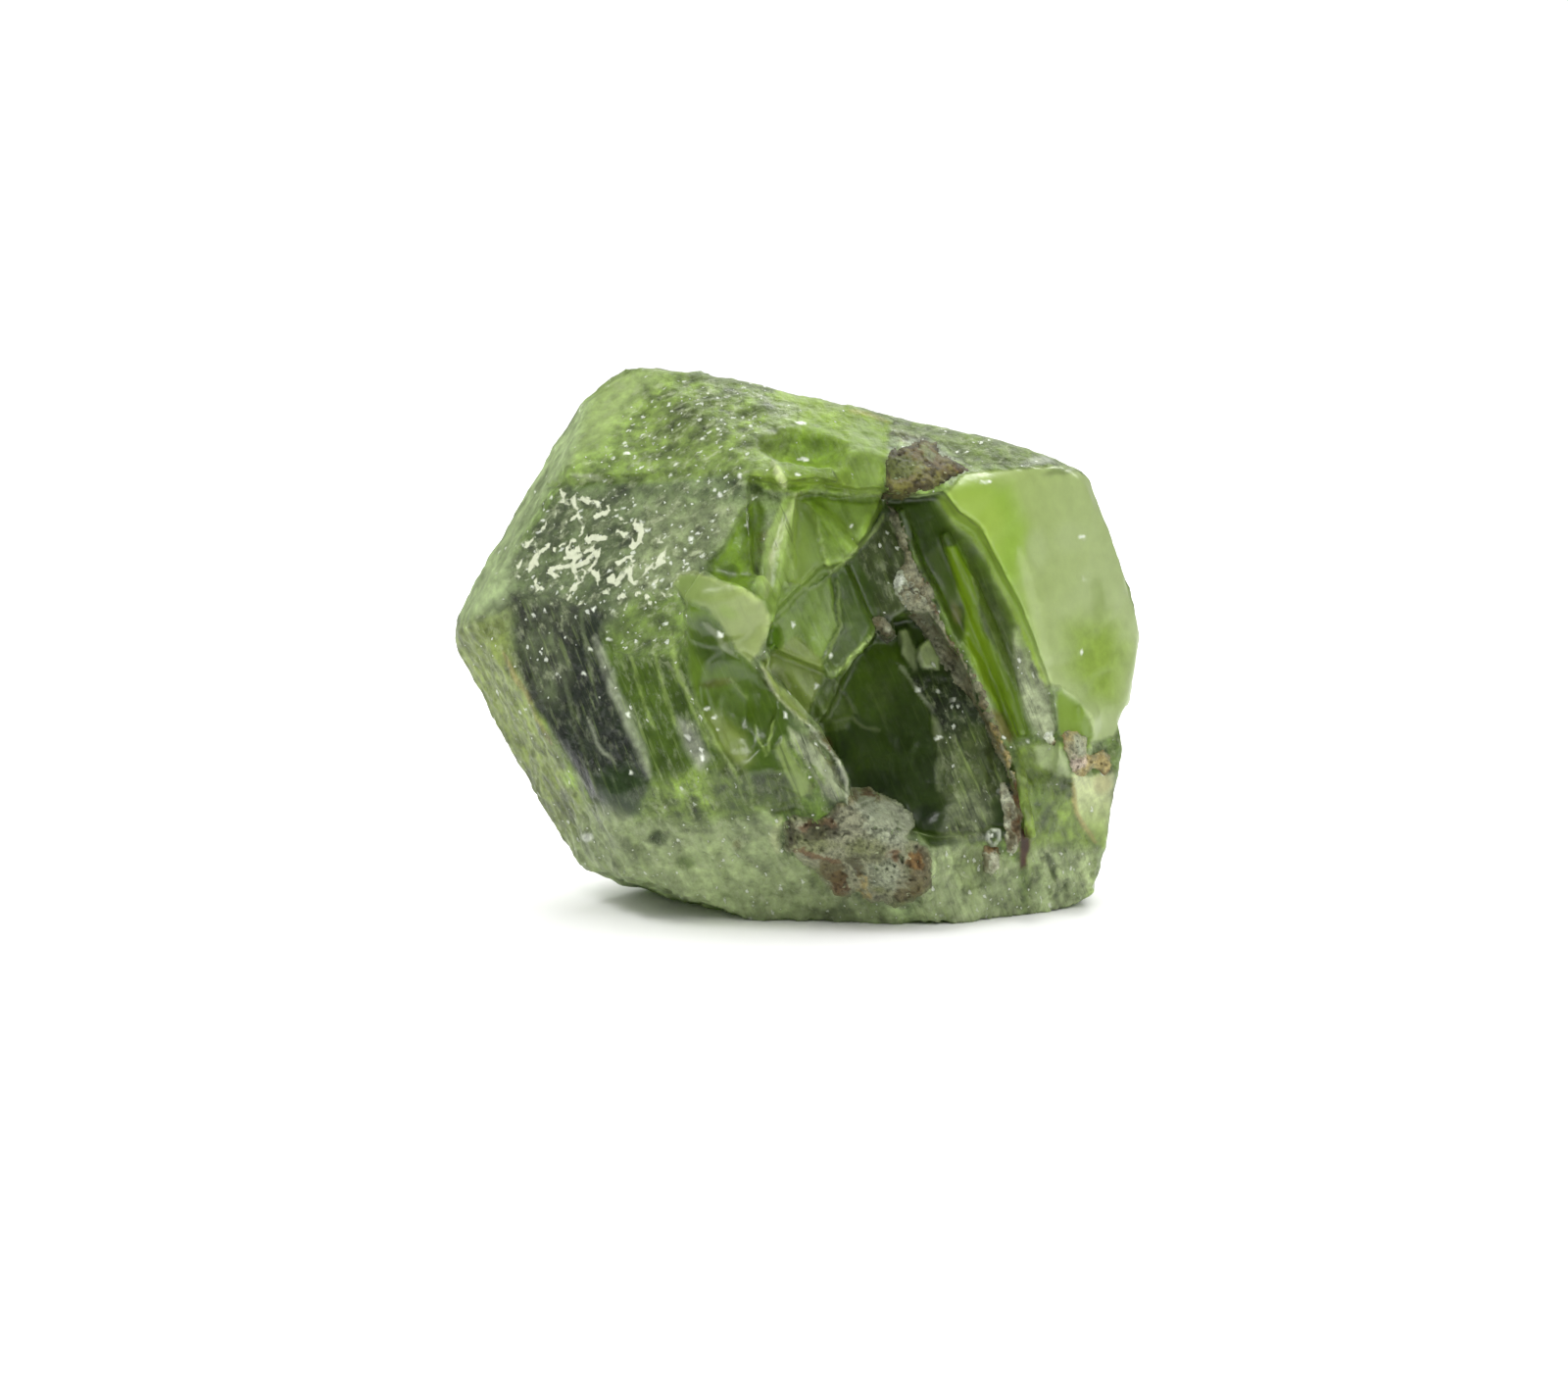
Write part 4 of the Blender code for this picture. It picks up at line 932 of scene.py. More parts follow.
def paint(face, sharp, colours):
    """The crystal's colour and clearness at each point."""
    def named(name):
        return np.array(getattr(colours, name))

    natural = ease(0.5 + face.slow * 2.4)[:, None]
    colour = named("skin") * (1.0 - natural) + named("pale_band") * natural
    deep = ease((rough_noise(face.seen * 0.55, 3, 73) - 0.12) / 0.3)[:, None]
    colour += (named("olive_shade") - colour) * 0.6 * deep
    brown = ease((rough_noise(face.seen * 0.9, 4, 71) - 0.26) / 0.12)[:, None]
    colour += (named("rock_brown") - colour) * 0.6 * brown
    for region_name, part in REGIONS.items():
        share = face.shares[region_name]
        wanted = named(part["colour"]) * TONES.get(region_name, 1.0)
        if part["fade"]:
            direction, other = part["fade"]
            turning = ease(progress(face.spots, part["outline"], direction))[:, None]
            wanted = wanted + (named(other) - wanted) * turning
        colour += (wanted - colour) * share[:, None]
    clear = face.survey("clear", 0.4)
    streaks = rough_noise(face.grain * (0.8, 3.2, 1.0), 3, 59)
    blotches = 0.4 * face.quick + 0.45 * streaks + 0.15 * face.slow
    colour *= (1.0 + blotches * 1.7 * face.survey("mottle", 1.0) ** 1.5)[:, None]
    for centre, radii, roll, name, strength, _ in SPOTS:
        share = spot(face.wandered, centre, radii, roll) * face.front * strength
        colour += (named(name) - colour) * share[:, None]
    for path, half_width, name, strength, _ in MARKS:
        share = line(face.wandered, path, half_width) * face.front * strength
        share = np.clip(share * (0.85 + 0.5 * face.quick), 0, 1)
        colour += (named(name) - colour) * share[:, None]
        clear *= 1.0 - 0.5 * share
    # Convex edges lightened: pale chipped edges, and partly a painted highlight along them
    edge = ease((sharp - 0.010) / 0.04)[:, None]
    colour += (colour * 0.7 + named("shell") * 0.12) * 0.7 * edge
    # Painted shade: points sunk in creases and cracks are darkened
    crack = ease((-sharp - 0.010) / 0.05)[:, None]
    colour *= 1.0 - 0.38 * crack
    # Painted highlights: the glints are painted white and made opaque
    glints = np.zeros(len(sharp))
    for x, y, half_length, half_width, roll in GLINTS:
        radii = (0.85 * half_length, 0.7 * half_width)
        glints = np.maximum(glints, spot(face.wandered, (x, y), radii, roll) * face.front)
    glints = ease((glints * (1.0 + 1.1 * noise(face.seen * 7.0, 77)) - 0.35) / 0.5)
    colour += (named("white") - colour) * glints[:, None]
    return np.clip(colour, 0.003, 0.95), clear * (1.0 - glints)


class Nodes:
    """Adds shader nodes to one material in short calls."""

    def __init__(self, name):
        self.material = bpy.data.materials.new(name)
        self.material.use_nodes = True
        self.tree = self.material.node_tree
        self.shader = self.tree.nodes["Principled BSDF"]
        self.out = self.tree.nodes["Material Output"]

    def feed(self, socket, value):
        """Links an output to a socket, or sets the socket's own value."""
        if isinstance(value, bpy.types.NodeSocket):
            self.tree.links.new(value, socket)
        else:
            socket.default_value = value

    def add(self, kind, *inputs, output=0, **settings):
        """The output of a new node, with its settings and its inputs in order."""
        node = self.tree.nodes.new("ShaderNode" + kind)
        for name, value in settings.items():
            setattr(node, name, value)
        for socket, value in zip(node.inputs, inputs):
            if value is not None:
                self.feed(socket, value)
        return node.outputs[output]

    def attribute(self, name, output="Fac"):
        """A value that the mesh stores."""
        return self.add("Attribute", attribute_name=name, output=output)

    def math(self, operation, *values):
        """Sums, products and the like."""
        return self.add("Math", *values, operation=operation)

    def steps(self, value, low, high, start=0.0, end=1.0):
        """Maps low to high onto start to end, without running past them."""
        return self.add("MapRange", value, low, high, start, end, interpolation_type="SMOOTHSTEP")

    def mix(self, share, first, second):
        """One colour turning into another."""
        node = self.tree.nodes.new("ShaderNodeMix")
        node.data_type = "RGBA"
        for name, value in (("Factor_Float", share), ("A_Color", first), ("B_Color", second)):
            self.feed(next(socket for socket in node.inputs if socket.identifier == name), value)
        return next(socket for socket in node.outputs if socket.identifier == "Result_Color")

    def scaled(self, vector, factors):
        """A place with each axis stretched by its own factor."""
        return self.add("VectorMath", vector, factors, operation="MULTIPLY")

    def noise(self, vector, scale, detail=3.0, roughness=0.5):
        """Noise, as one number."""
        return self.add("TexNoise", vector, None, scale, detail, roughness)

    def dashes(self, vector, density, size):
        """Separate small ragged dashes: 1 inside one, 0 between them."""
        wander = self.add("TexNoise", vector, None, 1.6, 2.0, 0.6, output=1)
        wander = self.add("VectorMath", wander, (1.1, 1.1, 1.1), operation="MULTIPLY")
        node = self.tree.nodes.new("ShaderNodeTexVoronoi")
        self.feed(node.inputs["Vector"], self.add("VectorMath", vector, wander, operation="ADD"))
        node.inputs["Scale"].default_value = 1.0
        chance = self.add("SeparateColor", node.outputs["Color"])
        chosen = self.math("LESS_THAN", chance, density)
        return self.math("MULTIPLY", self.steps(node.outputs["Distance"], size * 0.55, size, 1.0, 0.0), chosen)

    def bump(self, height, strength, distance):
        """A small relief under the shader."""
        node = self.tree.nodes.new("ShaderNodeBump")
        node.inputs["Strength"].default_value = strength
        node.inputs["Distance"].default_value = distance
        self.feed(node.inputs["Height"], height)
        self.feed(self.shader.inputs["Normal"], node.outputs["Normal"])


def crystal_material(colours):
    """Translucent green crystal: frosted where it is rough, and clear where it broke."""
    make = Nodes("peridot_crystal")
    place, grain = make.attribute("place", "Vector"), make.attribute("grain", "Vector")
    flecks, mottled, cream = (make.attribute(name) for name in ("flecks", "mottle", "cream"))
    fine = make.noise(place, 2.4, 6.0, 0.62)
    swing = make.math("MULTIPLY", make.math("SUBTRACT", fine, 0.5), make.math("MULTIPLY", mottled, 2.3))
    base = make.add("VectorMath", make.attribute("tint", "Color"), operation="SCALE")
    make.feed(base.node.inputs["Scale"], make.math("ADD", swing, 1.0))
    lines = make.noise(make.scaled(grain, (0.6, 9.0, 1.2)), 1.0, 3.0, 0.55)
    lined = make.attribute("lined")
    light_line = make.math("MULTIPLY", make.steps(lines, 0.54, 0.72, 0.0, 0.55), lined)
    dark_line = make.math("MULTIPLY", make.steps(lines, 0.46, 0.30, 0.0, 0.6), lined)
    base = make.mix(light_line, base, (*colours.shell, 1.0))
    base = make.mix(dark_line, base, (*colours.deep_shade, 1.0))
    patches = make.noise(make.scaled(grain, (2.0, 3.8, 2.0)), 1.0, 6.0, 0.72)
    frosting = make.math("MULTIPLY", make.steps(patches, 0.50, 0.66, 0.0, 0.85), flecks)
    base = make.mix(frosting, base, (*colours.frost, 1.0))
    hollows = make.math("MULTIPLY", make.steps(patches, 0.43, 0.30, 0.0, 0.4), flecks)
    base = make.mix(hollows, base, (*colours.dark_foot, 1.0))
    # Painted highlights: small white specks painted in for the sparkle of light on frosted facets
    chance = make.math("MULTIPLY", flecks, flecks)
    sparkle_specks = make.dashes(make.scaled(grain, (3.4, 5.6, 3.4)), make.math("MULTIPLY", chance, 0.34), 0.38)
    small = make.dashes(make.scaled(place, (8.0, 8.0, 8.0)), make.math("MULTIPLY", chance, 0.18), 0.34)
    sparkle_specks = make.math("MAXIMUM", make.math("MULTIPLY", sparkle_specks, 0.75), small)
    base = make.mix(sparkle_specks, base, (*colours.white, 1.0))
    torn = make.noise(place, 5.5, 3.0, 0.6)
    ragged = make.math("ADD", cream, make.math("MULTIPLY", make.math("SUBTRACT", torn, 0.5), 1.3))
    crust = make.math("MULTIPLY", make.steps(ragged, 0.40, 0.80, 0.0, 0.9), make.steps(cream, 0.0, 0.1))
    base = make.mix(crust, base, (*colours.cream, 1.0))
    make.feed(make.shader.inputs["Base Color"], base)
    solid = make.math("MAXIMUM", make.math("MAXIMUM", sparkle_specks, crust), make.math("MULTIPLY", frosting, 0.6))
    open_share = make.math("SUBTRACT", 1.0, solid)
    clear = make.math("MULTIPLY", make.attribute("clear"), open_share)
    make.feed(make.shader.inputs["Transmission Weight"], clear)
    uneven = make.math("MULTIPLY", make.math("SUBTRACT", fine, 0.5), 0.2)
    rough = make.math("ADD", make.attribute("rough"), uneven)
    rough = make.math("ADD", rough, make.math("MULTIPLY", crust, 0.3))
    make.feed(make.shader.inputs["Roughness"], rough)
    etched = make.math("MULTIPLY", fine, make.attribute("etched"))
    make.bump(make.math("ADD", etched, make.math("MULTIPLY", solid, 0.3)), 1.0, ETCH_DEPTH)
    make.shader.inputs["IOR"].default_value = PERIDOT_IOR
    make.shader.inputs["Specular IOR Level"].default_value = PERIDOT_GLOSS
    inside = make.tree.nodes.new("ShaderNodeVolumeAbsorption")
    inside.inputs["Color"].default_value = (*colours.body, 1.0)
    inside.inputs["Density"].default_value = ABSORPTION
    make.feed(make.out.inputs["Volume"], inside.outputs["Volume"])
    return make.material


class PERIDOT_OT_crystal(bpy.types.Operator):
    """Make the crystal: its frosted faces and its shelved break"""

    bl_idname = "peridot.crystal"
    bl_label = "Make Crystal"

    def execute(self, context):
        sizes, colours = context.scene.peridot_sizes, context.scene.peridot_colours
        stone = keep_in_scene("peridot_crystal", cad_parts["peridot"].data.copy())
        stone.data.materials.clear()
        even_faces(stone, sizes.fineness)
        soften(stone.data, 2, 0.5)
        face = Surface(stone.data)
        face.measure()
        height = relief(face, sizes)
        write_points(stone.data, above_floor(face.points + face.normals * height[:, None] * MM))
        write_value(stone.data, "sharp", sharpness(stone.data, 3))
        write_value(stone.data, "front", face.front)
        fewer_faces(stone, TRIANGLES, np.round(1.0 - 0.95 * ease(face.front * 1.5), 1))
        soften(stone.data, 1, 0.3)
        mesh = stone.data
        face = Surface(mesh)
        face.front = take_value(mesh, "front")
        face.measure()
        tint, clear = paint(face, take_value(mesh, "sharp"), colours)
        write_colour(mesh, "tint", tint)
        write_vector(mesh, "place", face.seen)
        write_vector(mesh, "grain", face.grain)
        write_value(mesh, "clear", clear)
        write_value(mesh, "rough", np.maximum(face.survey("rough", 0.5), LEAST_ROUGH))
        write_value(mesh, "flecks", face.survey("flecks", 0.55))
        write_value(mesh, "lined", 0.7 * face.survey("lined", 0.7) ** 1.6)
        write_value(mesh, "mottle", 1.5 * face.survey("mottle", 1.0) ** 1.5)
        write_value(mesh, "cream", face.cream())
        write_value(mesh, "etched", np.clip(face.frost, 0.15, 1.0))
        mesh.materials.append(crystal_material(colours))
        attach(stone, "root")
        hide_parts("peridot")
        return {"FINISHED"}


# The host rock's crusts: outline in pixels, how far each stands proud in millimetres, and its two main colours
ROCKS = {
    "upper_host_rock": (
        [(899, 509), (901, 498), (905, 482), (902, 472), (908, 457), (923, 454), (943, 447), (956, 451), (964, 463),
         (976, 469), (990, 480), (974, 490), (956, 498), (938, 506), (918, 510)], 0.22, "rock_brown", "brown_green"),
    "lower_host_rock": (
        [(799, 838), (808, 830), (820, 833), (836, 836), (846, 826), (854, 814), (862, 818), (867, 801), (887, 801),
         (896, 807), (906, 812), (920, 819), (932, 828), (935, 843), (926, 854), (948, 862), (953, 878), (952, 906),
         (943, 917), (927, 922), (912, 929), (900, 922), (888, 924), (874, 912), (864, 916), (850, 917), (842, 902),
         (826, 887), (812, 877), (799, 867)], 0.26, "rock_grey", "rock_green"),
    "right_host_rock": (
        [(1079, 750), (1088, 744), (1100, 744), (1109, 752), (1113, 768), (1125, 764), (1135, 772), (1136, 788),
         (1126, 791), (1116, 783), (1108, 792), (1100, 796), (1092, 788), (1087, 771)], 0.22, "rock_grey", "tan"),
    "right_white_flake": ([(1060, 754), (1068, 744), (1075, 748), (1077, 759), (1070, 763)],
                          0.12, "white", "pale_shard"),
    "host_vein": (
        [(904, 510), (920, 524), (929, 550), (937, 575), (950, 592), (959, 620), (966, 640), (980, 660), (994, 684),
         (1009, 704), (1014, 722), (1023, 745), (1035, 775), (1041, 800), (1045, 840), (1037, 846), (1031, 800),
         (1024, 784), (1012, 762), (1002, 735), (990, 714), (975, 700), (964, 685), (951, 662), (935, 640),
         (922, 622), (912, 600), (916, 582), (922, 572), (915, 552), (906, 530)], 0.14, "rock_grey", "rock_brown"),
    "vein_flakes": (
        [(909, 586), (921, 578), (932, 585), (939, 600), (951, 612), (958, 632), (953, 646), (938, 638), (924, 620),
         (912, 607)], 0.16, "silver", "rock_grey"),
    "foot_nodule": ([(1000, 870), (1005, 862), (1018, 863), (1023, 872), (1021, 888), (1012, 895), (1003, 889)], 0.3,
                    "cream", "rock_brown"),
    "white_fibres": ([(1018, 796), (1026, 798), (1035, 811), (1041, 835), (1043, 862), (1036, 873), (1026, 869),
         (1023, 845), (1021, 820)], 0.16, "cream", "rock_brown"),
    "small_nodule": ([(888, 631), (899, 627), (912, 635), (914, 650), (904, 658), (894, 649)],
                     0.25, "silver", "rock_brown"),
}

# Stains on the host rock, and a painted shadow at (849, 822): middle in pixels, half sizes, roll and colour
ROCK_SPOTS = [
    ((922, 476), (17, 15), 0, "murk"), ((946, 461), (6, 12), 10, "murk_pale"), ((950, 479), (7, 5), 0, "rock_dark"),
    ((984, 481), (8, 4), 15, "orange"), ((905, 504), (8, 6), 0, "rock_dark"), ((935, 500), (22, 5), -12, "rock_dark"),
    ((930, 455), (18, 5), -10, "rock_brown"), ((834, 840), (20, 6), -8, "rust"), ((836, 848), (24, 6), -10, "rock_dark"),
    ((824, 860), (22, 8), 0, "rock_green"), ((836, 873), (24, 5), 12, "rust"), ((856, 902), (9, 15), 5, "rust"),
    ((848, 888), (14, 8), 30, "rock_brown"), ((908, 838), (28, 24), 0, "silver"), ((886, 822), (14, 12), 0, "silver"),
    ((888, 806), (7, 5), 20, "rust"), ((868, 850), (16, 14), 0, "rock_grey"), ((912, 874), (8, 6), -20, "rust"),
    ((940, 892), (14, 28), 0, "rock_brown"), ((934, 880), (9, 10), 0, "orange"), ((926, 912), (12, 8), 0, "rock_brown"),
    ((902, 892), (15, 16), 40, "silver"), ((849, 822), (9, 14), 35, "rock_dark"), ((866, 812), (9, 12), 0, "rock_brown"),
    ((805, 852), (6, 18), 0, "rock_dark"), ((882, 904), (5, 18), -25, "tan"), ((872, 884), (8, 12), -25, "rock_dark"),
    ((1082, 754), (6, 9), 15, "orange"), ((1096, 778), (9, 8), 0, "pink"), ((1104, 758), (9, 12), 0, "silver"),
    ((1126, 780), (10, 8), 0, "tan"), ((1126, 788), (6, 4), 0, "rust"), ((1006, 880), (7, 10), 0, "rock_brown"),
    ((1012, 866), (6, 4), 0, "orange"), ((1040, 850), (5, 16), 0, "rust"), ((1028, 850), (4, 20), -8, "rock_brown"),
    ((903, 652), (10, 5), 0, "rock_dark"), ((916, 590), (7, 6), 0, "white"), ((945, 625), (8, 16), -25, "rock_grey"),
]

# Narrow stains on the host rock: path in pixels, half its width, and colour
ROCK_LINES = [
    ([(921, 526), (929, 550), (938, 576), (951, 594)], 3.0, "rust"),
    ([(958, 614), (967, 640), (981, 661), (995, 685), (1009, 706), (1014, 724)], 3.5, "rust"),
    ([(1014, 740), (1024, 762), (1034, 786)], 4.0, "tan"), ([(1036, 790), (1040, 815), (1043, 842)], 3.0, "rust"),
    ([(920, 600), (932, 596), (940, 604)], 1.8, "rock_dark"), ([(806, 832), (800, 845), (801, 866)], 3.0, "rock_dark"),
    ([(860, 880), (876, 900), (890, 915)], 3.0, "rock_grey"),
    ([(902, 506), (905, 482), (904, 471), (911, 459), (926, 456), (943, 449)], 4.5, "rock_dark"),
    ([(956, 455), (964, 465), (976, 471), (986, 480), (960, 494)], 4.0, "rock_dark"),
]

# How far a crust's grid reaches past its outline, in pixels, how deep its root is set, in millimetres, and how
# much its thin rim takes on the crystal's murk
ROCK_MARGIN = 6.0
ROOT_DEPTH = 0.35
RIM_MURK = 0.15
LOWER_RIM_MURK = 0.6


def largest_patch(kept):
    """The largest joined group of cells in a grid."""
    left = kept.copy()
    best = np.zeros_like(kept)
    while left.any():
        start = tuple(np.argwhere(left)[0])
        left[start] = False
        group, edge = [start], [start]
        while edge:
            row, column = edge.pop()
            for cell in ((row + 1, column), (row - 1, column), (row, column + 1), (row, column - 1)):
                if 0 <= cell[0] < kept.shape[0] and 0 <= cell[1] < kept.shape[1] and left[cell]:
                    left[cell] = False
                    group.append(cell)
                    edge.append(cell)
        if len(group) > best.sum():
            best[:] = False
            best[tuple(np.array(group).T)] = True
    return best


def box_blur(grid, reach):
    """Evens a grid out over so many cells each way."""
    padded = np.pad(grid, reach, mode="edge")
    size = 2 * reach + 1
    for axis in (0, 1):
        total = np.cumsum(padded, axis=axis)
        total = np.concatenate((np.zeros_like(np.take(total, [0], axis)), total), axis)
        high = np.take(total, range(size, total.shape[axis]), axis)
        low = np.take(total, range(0, total.shape[axis] - size), axis)
        padded = (high - low) / size
    return padded


def depths(stone_tree, pixels, wanted):
    """How far away the crystal lies behind each wanted pixel, in the seen layout, or nan where it is missed."""
    sights = sight_lines(pixels)
    eye = Vector(to_world(EYE_MM[None, :])[0])
    depth = np.full(len(pixels), np.nan)
    for index in np.nonzero(wanted)[0]:
        hit = stone_tree.ray_cast(eye, Vector(turn(sights[index][None, :], -1.0)[0]).normalized())
        if hit[0] is not None:
            depth[index] = to_seen(np.array(hit[0])[None, :])[0, 1]
    return depth


def closed_sheet(name, top, root, number, kept):
    """A closed mesh between a top and a root sheet of points over the kept cells of a grid."""
    quads = np.stack((number[:-1, :-1], number[1:, :-1], number[1:, 1:], number[:-1, 1:]), 2)[kept]
    faces = [tuple(int(corner) for corner in quad) for quad in quads]
    sides = set()
    for quad in faces:
        for pair in zip(quad, quad[1:] + quad[:1]):
            if pair[::-1] in sides:
                sides.remove(pair[::-1])
            else:
                sides.add(pair)
    count = len(top)
    under = [tuple(corner + count for corner in reversed(quad)) for quad in faces]
    walls = [(second, first, first + count, second + count) for first, second in sorted(sides)]
    mesh = bpy.data.meshes.new(name)
    mesh.from_pydata(above_floor(to_world(np.vstack((top, root)))).tolist(), [], faces + under + walls)
    mesh.shade_smooth()
    return mesh


def rock_patch(name, outline, rise, mains, stone_tree, sizes, colours, seed):
    """A closed crust of host rock that follows the crystal under it and is rooted inside it."""
    step = sizes.rock_fineness / MM / MM_PER_PX
    corners = np.array(outline, float)
    low, high = corners.min(0) - ROCK_MARGIN, corners.max(0) + ROCK_MARGIN
    columns, rows = (int(math.ceil(span / step)) for span in high - low)
    across, down = np.meshgrid(low[0] + np.arange(columns) * step, low[1] + np.arange(rows) * step)
    pixels = np.stack((across.ravel(), down.ravel()), 1)
    flat = np.column_stack((pixels, np.full(len(pixels), float(seed))))
    reach = edge_distance(pixels, outline) + noise(flat / 4.0, seed) * 1.6 + noise(flat / 12.0, seed + 1) * 1.6
    depth = depths(stone_tree, pixels, reach > -8.0)
    known = np.isfinite(depth)
    depth[~known] = np.nanmedian(depth)
    grid = depth.reshape(rows, columns)
    level = np.minimum(box_blur(grid, 4), grid + 0.05).ravel()
    lumps = noise(flat / 9.0, seed + 2) * 0.6 + splinters(flat / 6.0, seed + 3) * 0.6
    grains = noise(flat / 2.6, seed + 4) * 0.5 + splinters(flat / 3.2, seed + 5) * 0.6
    lift = rise * ease(reach / 7.0) * (0.7 + 0.6 * lumps)
    lift += sizes.rock_grain / MM * grains * ease(reach / 4.0) * 0.7 - 0.05 * ease(1.0 - reach / 3.0)
    inside = ((reach > 0.0) & known).reshape(rows, columns)
    kept = largest_patch(inside[:-1, :-1] & inside[1:, :-1] & inside[:-1, 1:] & inside[1:, 1:])
    used = np.zeros((rows, columns), bool)
    for row in (0, 1):
        for column in (0, 1):
            used[row:row + kept.shape[0], column:column + kept.shape[1]] |= kept
    number = np.full((rows, columns), -1)
    number[used] = np.arange(used.sum())
    chosen = np.nonzero(used.ravel())[0]
    sights = sight_lines(pixels[chosen])
    top = EYE_MM + sights * ((level - lift)[chosen] - EYE_MM[1])[:, None]
    root = EYE_MM + sights * (depth[chosen] + ROOT_DEPTH - EYE_MM[1])[:, None]
    mesh = closed_sheet(name, top, root, number, kept)
    seen = np.vstack((top, root))
    # Painted shade: the low spots between the rock's lumps and grains are darkened
    crevice_shade = np.tile(1.0 - 0.4 * ease(-(lumps + grains)[chosen] * 1.2), 2)
    murk = LOWER_RIM_MURK if name == "lower_host_rock" else RIM_MURK
    tint = rock_colour(seen, np.tile(reach[chosen], 2), mains, murk, colours, seed)
    write_colour(mesh, "tint", tint * crevice_shade[:, None])
    write_vector(mesh, "place", seen)
    return keep_in_scene(name, mesh)


def rock_colour(seen, reach, mains, murk, colours, seed):
    """The host rock's two main colours, mottled, with its stains, and greener where it thins out at its rim."""
    blend = ease(0.4 + 1.1 * rough_noise(seen * 1.6, 3, seed + 7))[:, None]
    colour = np.array(getattr(colours, mains[0])) * (1 - blend) + np.array(getattr(colours, mains[1])) * blend
    warp = np.stack((rough_noise(seen * 2.5, 4, 61), rough_noise(seen * 2.5, 4, 67)), 1)
    spots = to_picture(seen) + warp * 12.0
    for centre, radii, roll, name in ROCK_SPOTS:
        share = ease(spot(spots, centre, np.array(radii) * 1.35, roll) * 1.4) * 0.7
        colour += (np.array(getattr(colours, name)) - colour) * share[:, None]
    for path, half_width, name in ROCK_LINES:
        share = line(spots, path, half_width) * 0.85
        colour += (np.array(getattr(colours, name)) - colour) * share[:, None]
    rim = murk * ease(1.0 - reach / 7.0)[:, None]
    colour += (np.array(colours.murk_pale) - colour) * rim
    return np.clip(colour, 0.01, 0.9)


def rock_material(colours):
    """Rough host rock: opaque, granular and dull, with a few bright grains."""
    make = Nodes("host_rock")
    place = make.attribute("place", "Vector")
    grains = make.noise(place, 6.0, 5.0, 0.75)
    base = make.add("VectorMath", make.attribute("tint", "Color"), operation="SCALE")
    make.feed(base.node.inputs["Scale"], make.steps(grains, 0.3, 0.7, 0.65, 1.35))
    dark = make.steps(make.noise(place, 9.0, 2.0, 0.6), 0.38, 0.30, 0.0, 0.5)
    base = make.mix(dark, base, (*colours.rock_dark, 1.0))
    bright = make.dashes(make.scaled(place, (6.0, 8.0, 9.0)), 0.07, 0.38)
    base = make.mix(make.math("MULTIPLY", bright, 0.6), base, (*colours.frost, 1.0))
    make.feed(make.shader.inputs["Base Color"], base)
    make.feed(make.shader.inputs["Roughness"], make.steps(grains, 0.3, 0.7, 0.5, 0.85))
    make.bump(grains, 0.8, 0.00008)
    make.shader.inputs["Specular IOR Level"].default_value = 0.35
    return make.material


class PERIDOT_OT_host_rock(bpy.types.Operator):
    """Grow the grey-brown host rock in the crystal's hollows"""

    bl_idname = "peridot.host_rock"
    bl_label = "Grow Host Rock"

    def execute(self, context):
        sizes, colours = context.scene.peridot_sizes, context.scene.peridot_colours
        graph = context.evaluated_depsgraph_get()
        tree = BVHTree.FromObject(context.scene.objects["peridot_crystal"], graph)
        material = rock_material(colours)
        for index, (name, (outline, rise, *mains)) in enumerate(ROCKS.items()):
            patch = rock_patch(name, outline, rise, mains, tree, sizes, colours, 100 + 10 * index)
            patch.data.materials.append(material)
            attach(patch, "root")
            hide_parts("peridot")
        return {"FINISHED"}


# The studio, in metres and watts: the floor's half width, each light's name, place, width and power, and the
# point that they look at
FLOOR_REACH = 3.0
LIGHTS = [
    ("key", (-0.09, -0.06, 0.16), 0.05, 0.12),
    ("fill", (0.12, -0.12, 0.12), 0.08, 0.06),
    ("back", (0.04, 0.13, 0.12), 0.10, 0.18),
]
LIGHT_AIM = (0.0, 0.0, 0.008)
NEAREST_SEEN = 0.005

# The tent: the way it grows brighter, its light at the side, its least light, and its light to the camera
TENT_SLOPE = (0.0, 0.35, 1.3)
TENT_LEVEL = 0.36
TENT_LEAST = 0.15
TENT_SEEN = 1.1


def soft_light(name, place, size, power):
    """A square studio light that looks at the stone."""
    light = bpy.data.lights.new(name, "AREA")
    light.size = size
    light.energy = power
    obj = bpy.data.objects.new(name, light)
    bpy.context.scene.collection.objects.link(obj)
    obj.location = place
    obj.rotation_euler = (Vector(LIGHT_AIM) - Vector(place)).to_track_quat("-Z", "Y").to_euler()


def studio_world():
    """A white tent over the stone: brightest overhead, and dim in front at the height of the eye."""
    world = bpy.data.worlds.new("studio")
    world.use_nodes = True
    tree = world.node_tree
    background = tree.nodes["Background"]
    where = tree.nodes.new("ShaderNodeTexCoord")
    tilt = tree.nodes.new("ShaderNodeVectorMath")
    tilt.operation = "DOT_PRODUCT"
    tilt.inputs[1].default_value = TENT_SLOPE
    tree.links.new(where.outputs["Generated"], tilt.inputs[0])
    level = tree.nodes.new("ShaderNodeMath")
    level.operation = "ADD"
    level.inputs[1].default_value = TENT_LEVEL
    tree.links.new(tilt.outputs["Value"], level.inputs[0])
    least = tree.nodes.new("ShaderNodeMath")
    least.operation = "MAXIMUM"
    least.inputs[1].default_value = TENT_LEAST
    tree.links.new(level.outputs[0], least.inputs[0])
    path = tree.nodes.new("ShaderNodeLightPath")
    choose = tree.nodes.new("ShaderNodeMix")
    tree.links.new(path.outputs["Is Camera Ray"], choose.inputs[0])
    tree.links.new(least.outputs[0], choose.inputs[2])
    choose.inputs[3].default_value = TENT_SEEN
    tree.links.new(choose.outputs[0], background.inputs["Strength"])
    background.inputs["Color"].default_value = (1.0, 1.0, 1.0, 1.0)
    return world


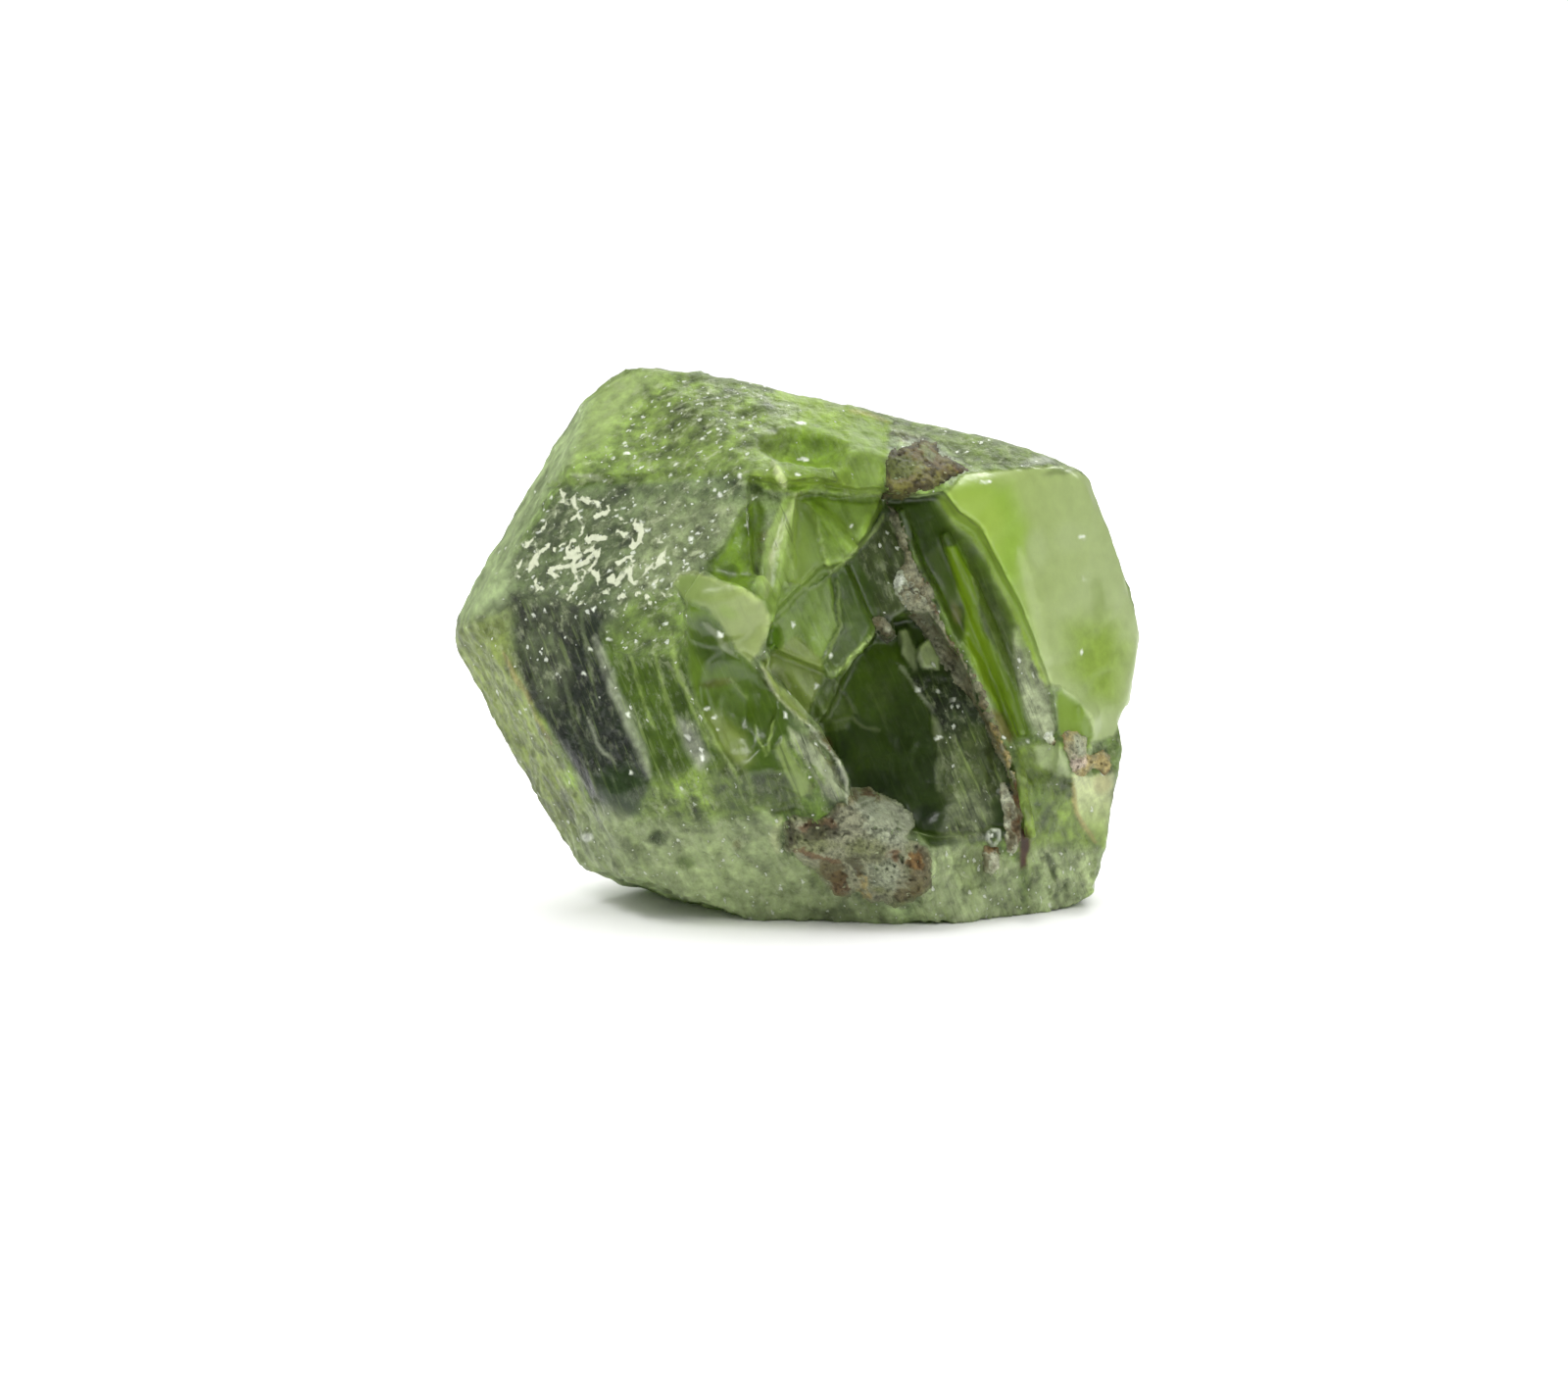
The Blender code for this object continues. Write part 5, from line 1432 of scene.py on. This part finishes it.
class PERIDOT_OT_stage(bpy.types.Operator):
    """Set the pale floor, the soft light and the camera"""

    bl_idname = "peridot.stage"
    bl_label = "Set Stage"

    def execute(self, context):
        scene = context.scene
        mesh = bpy.data.meshes.new("floor")
        corners = [(FLOOR_REACH * x, FLOOR_REACH * y, 0) for x, y in ((-1, -1), (1, -1), (1, 1), (-1, 1))]
        mesh.from_pydata(corners, [], [(0, 1, 2, 3)])
        floor = keep_in_scene("floor", mesh)
        make = Nodes("floor")
        make.shader.inputs["Base Color"].default_value = (*scene.peridot_colours.floor, 1.0)
        make.shader.inputs["Roughness"].default_value = 0.7
        mesh.materials.append(make.material)
        scene.world = studio_world()
        scene.world.cycles_visibility.glossy = False
        for name, place, size, power in LIGHTS:
            soft_light(name, place, size, power)
        camera = bpy.data.objects.new("camera", bpy.data.cameras.new("camera"))
        scene.collection.objects.link(camera)
        camera.data.lens = LENS
        camera.data.sensor_width = SENSOR
        camera.data.clip_start = NEAREST_SEEN
        camera.location = to_world(EYE_MM[None, :])[0]
        camera.rotation_euler = (math.pi / 2 - LEAN_BACK, 0.0, 0.0)
        scene.camera = camera
        scene.view_settings.view_transform = "Standard"
        return {"FINISHED"}


class PERIDOT_PT_panel(bpy.types.Panel):
    """The sidebar panel that makes the stone step by step"""

    bl_idname = "PERIDOT_PT_panel"
    bl_label = "Rough Peridot"
    bl_space_type = "VIEW_3D"
    bl_region_type = "UI"
    bl_category = "Peridot"

    def draw(self, context):
        for settings in (context.scene.peridot_sizes, context.scene.peridot_colours):
            for name in settings.bl_rna.properties.keys():
                if name not in ("rna_type", "name"):
                    self.layout.prop(settings, name)
        for operator in (PERIDOT_OT_crystal, PERIDOT_OT_host_rock, PERIDOT_OT_stage):
            self.layout.operator(operator.bl_idname)


CLASSES = (
    PeridotSizes, PeridotColours, PERIDOT_OT_crystal, PERIDOT_OT_host_rock, PERIDOT_OT_stage, PERIDOT_PT_panel
)


def register():
    for cls in CLASSES:
        bpy.utils.register_class(cls)
    bpy.types.Scene.peridot_sizes = bpy.props.PointerProperty(type=PeridotSizes)
    bpy.types.Scene.peridot_colours = bpy.props.PointerProperty(type=PeridotColours)


def unregister():
    del bpy.types.Scene.peridot_colours
    del bpy.types.Scene.peridot_sizes
    for cls in reversed(CLASSES):
        bpy.utils.unregister_class(cls)


def main():
    register()
    bpy.ops.peridot.crystal()
    bpy.ops.peridot.host_rock()
    bpy.ops.peridot.stage()


if __name__ == "__main__":
    main()
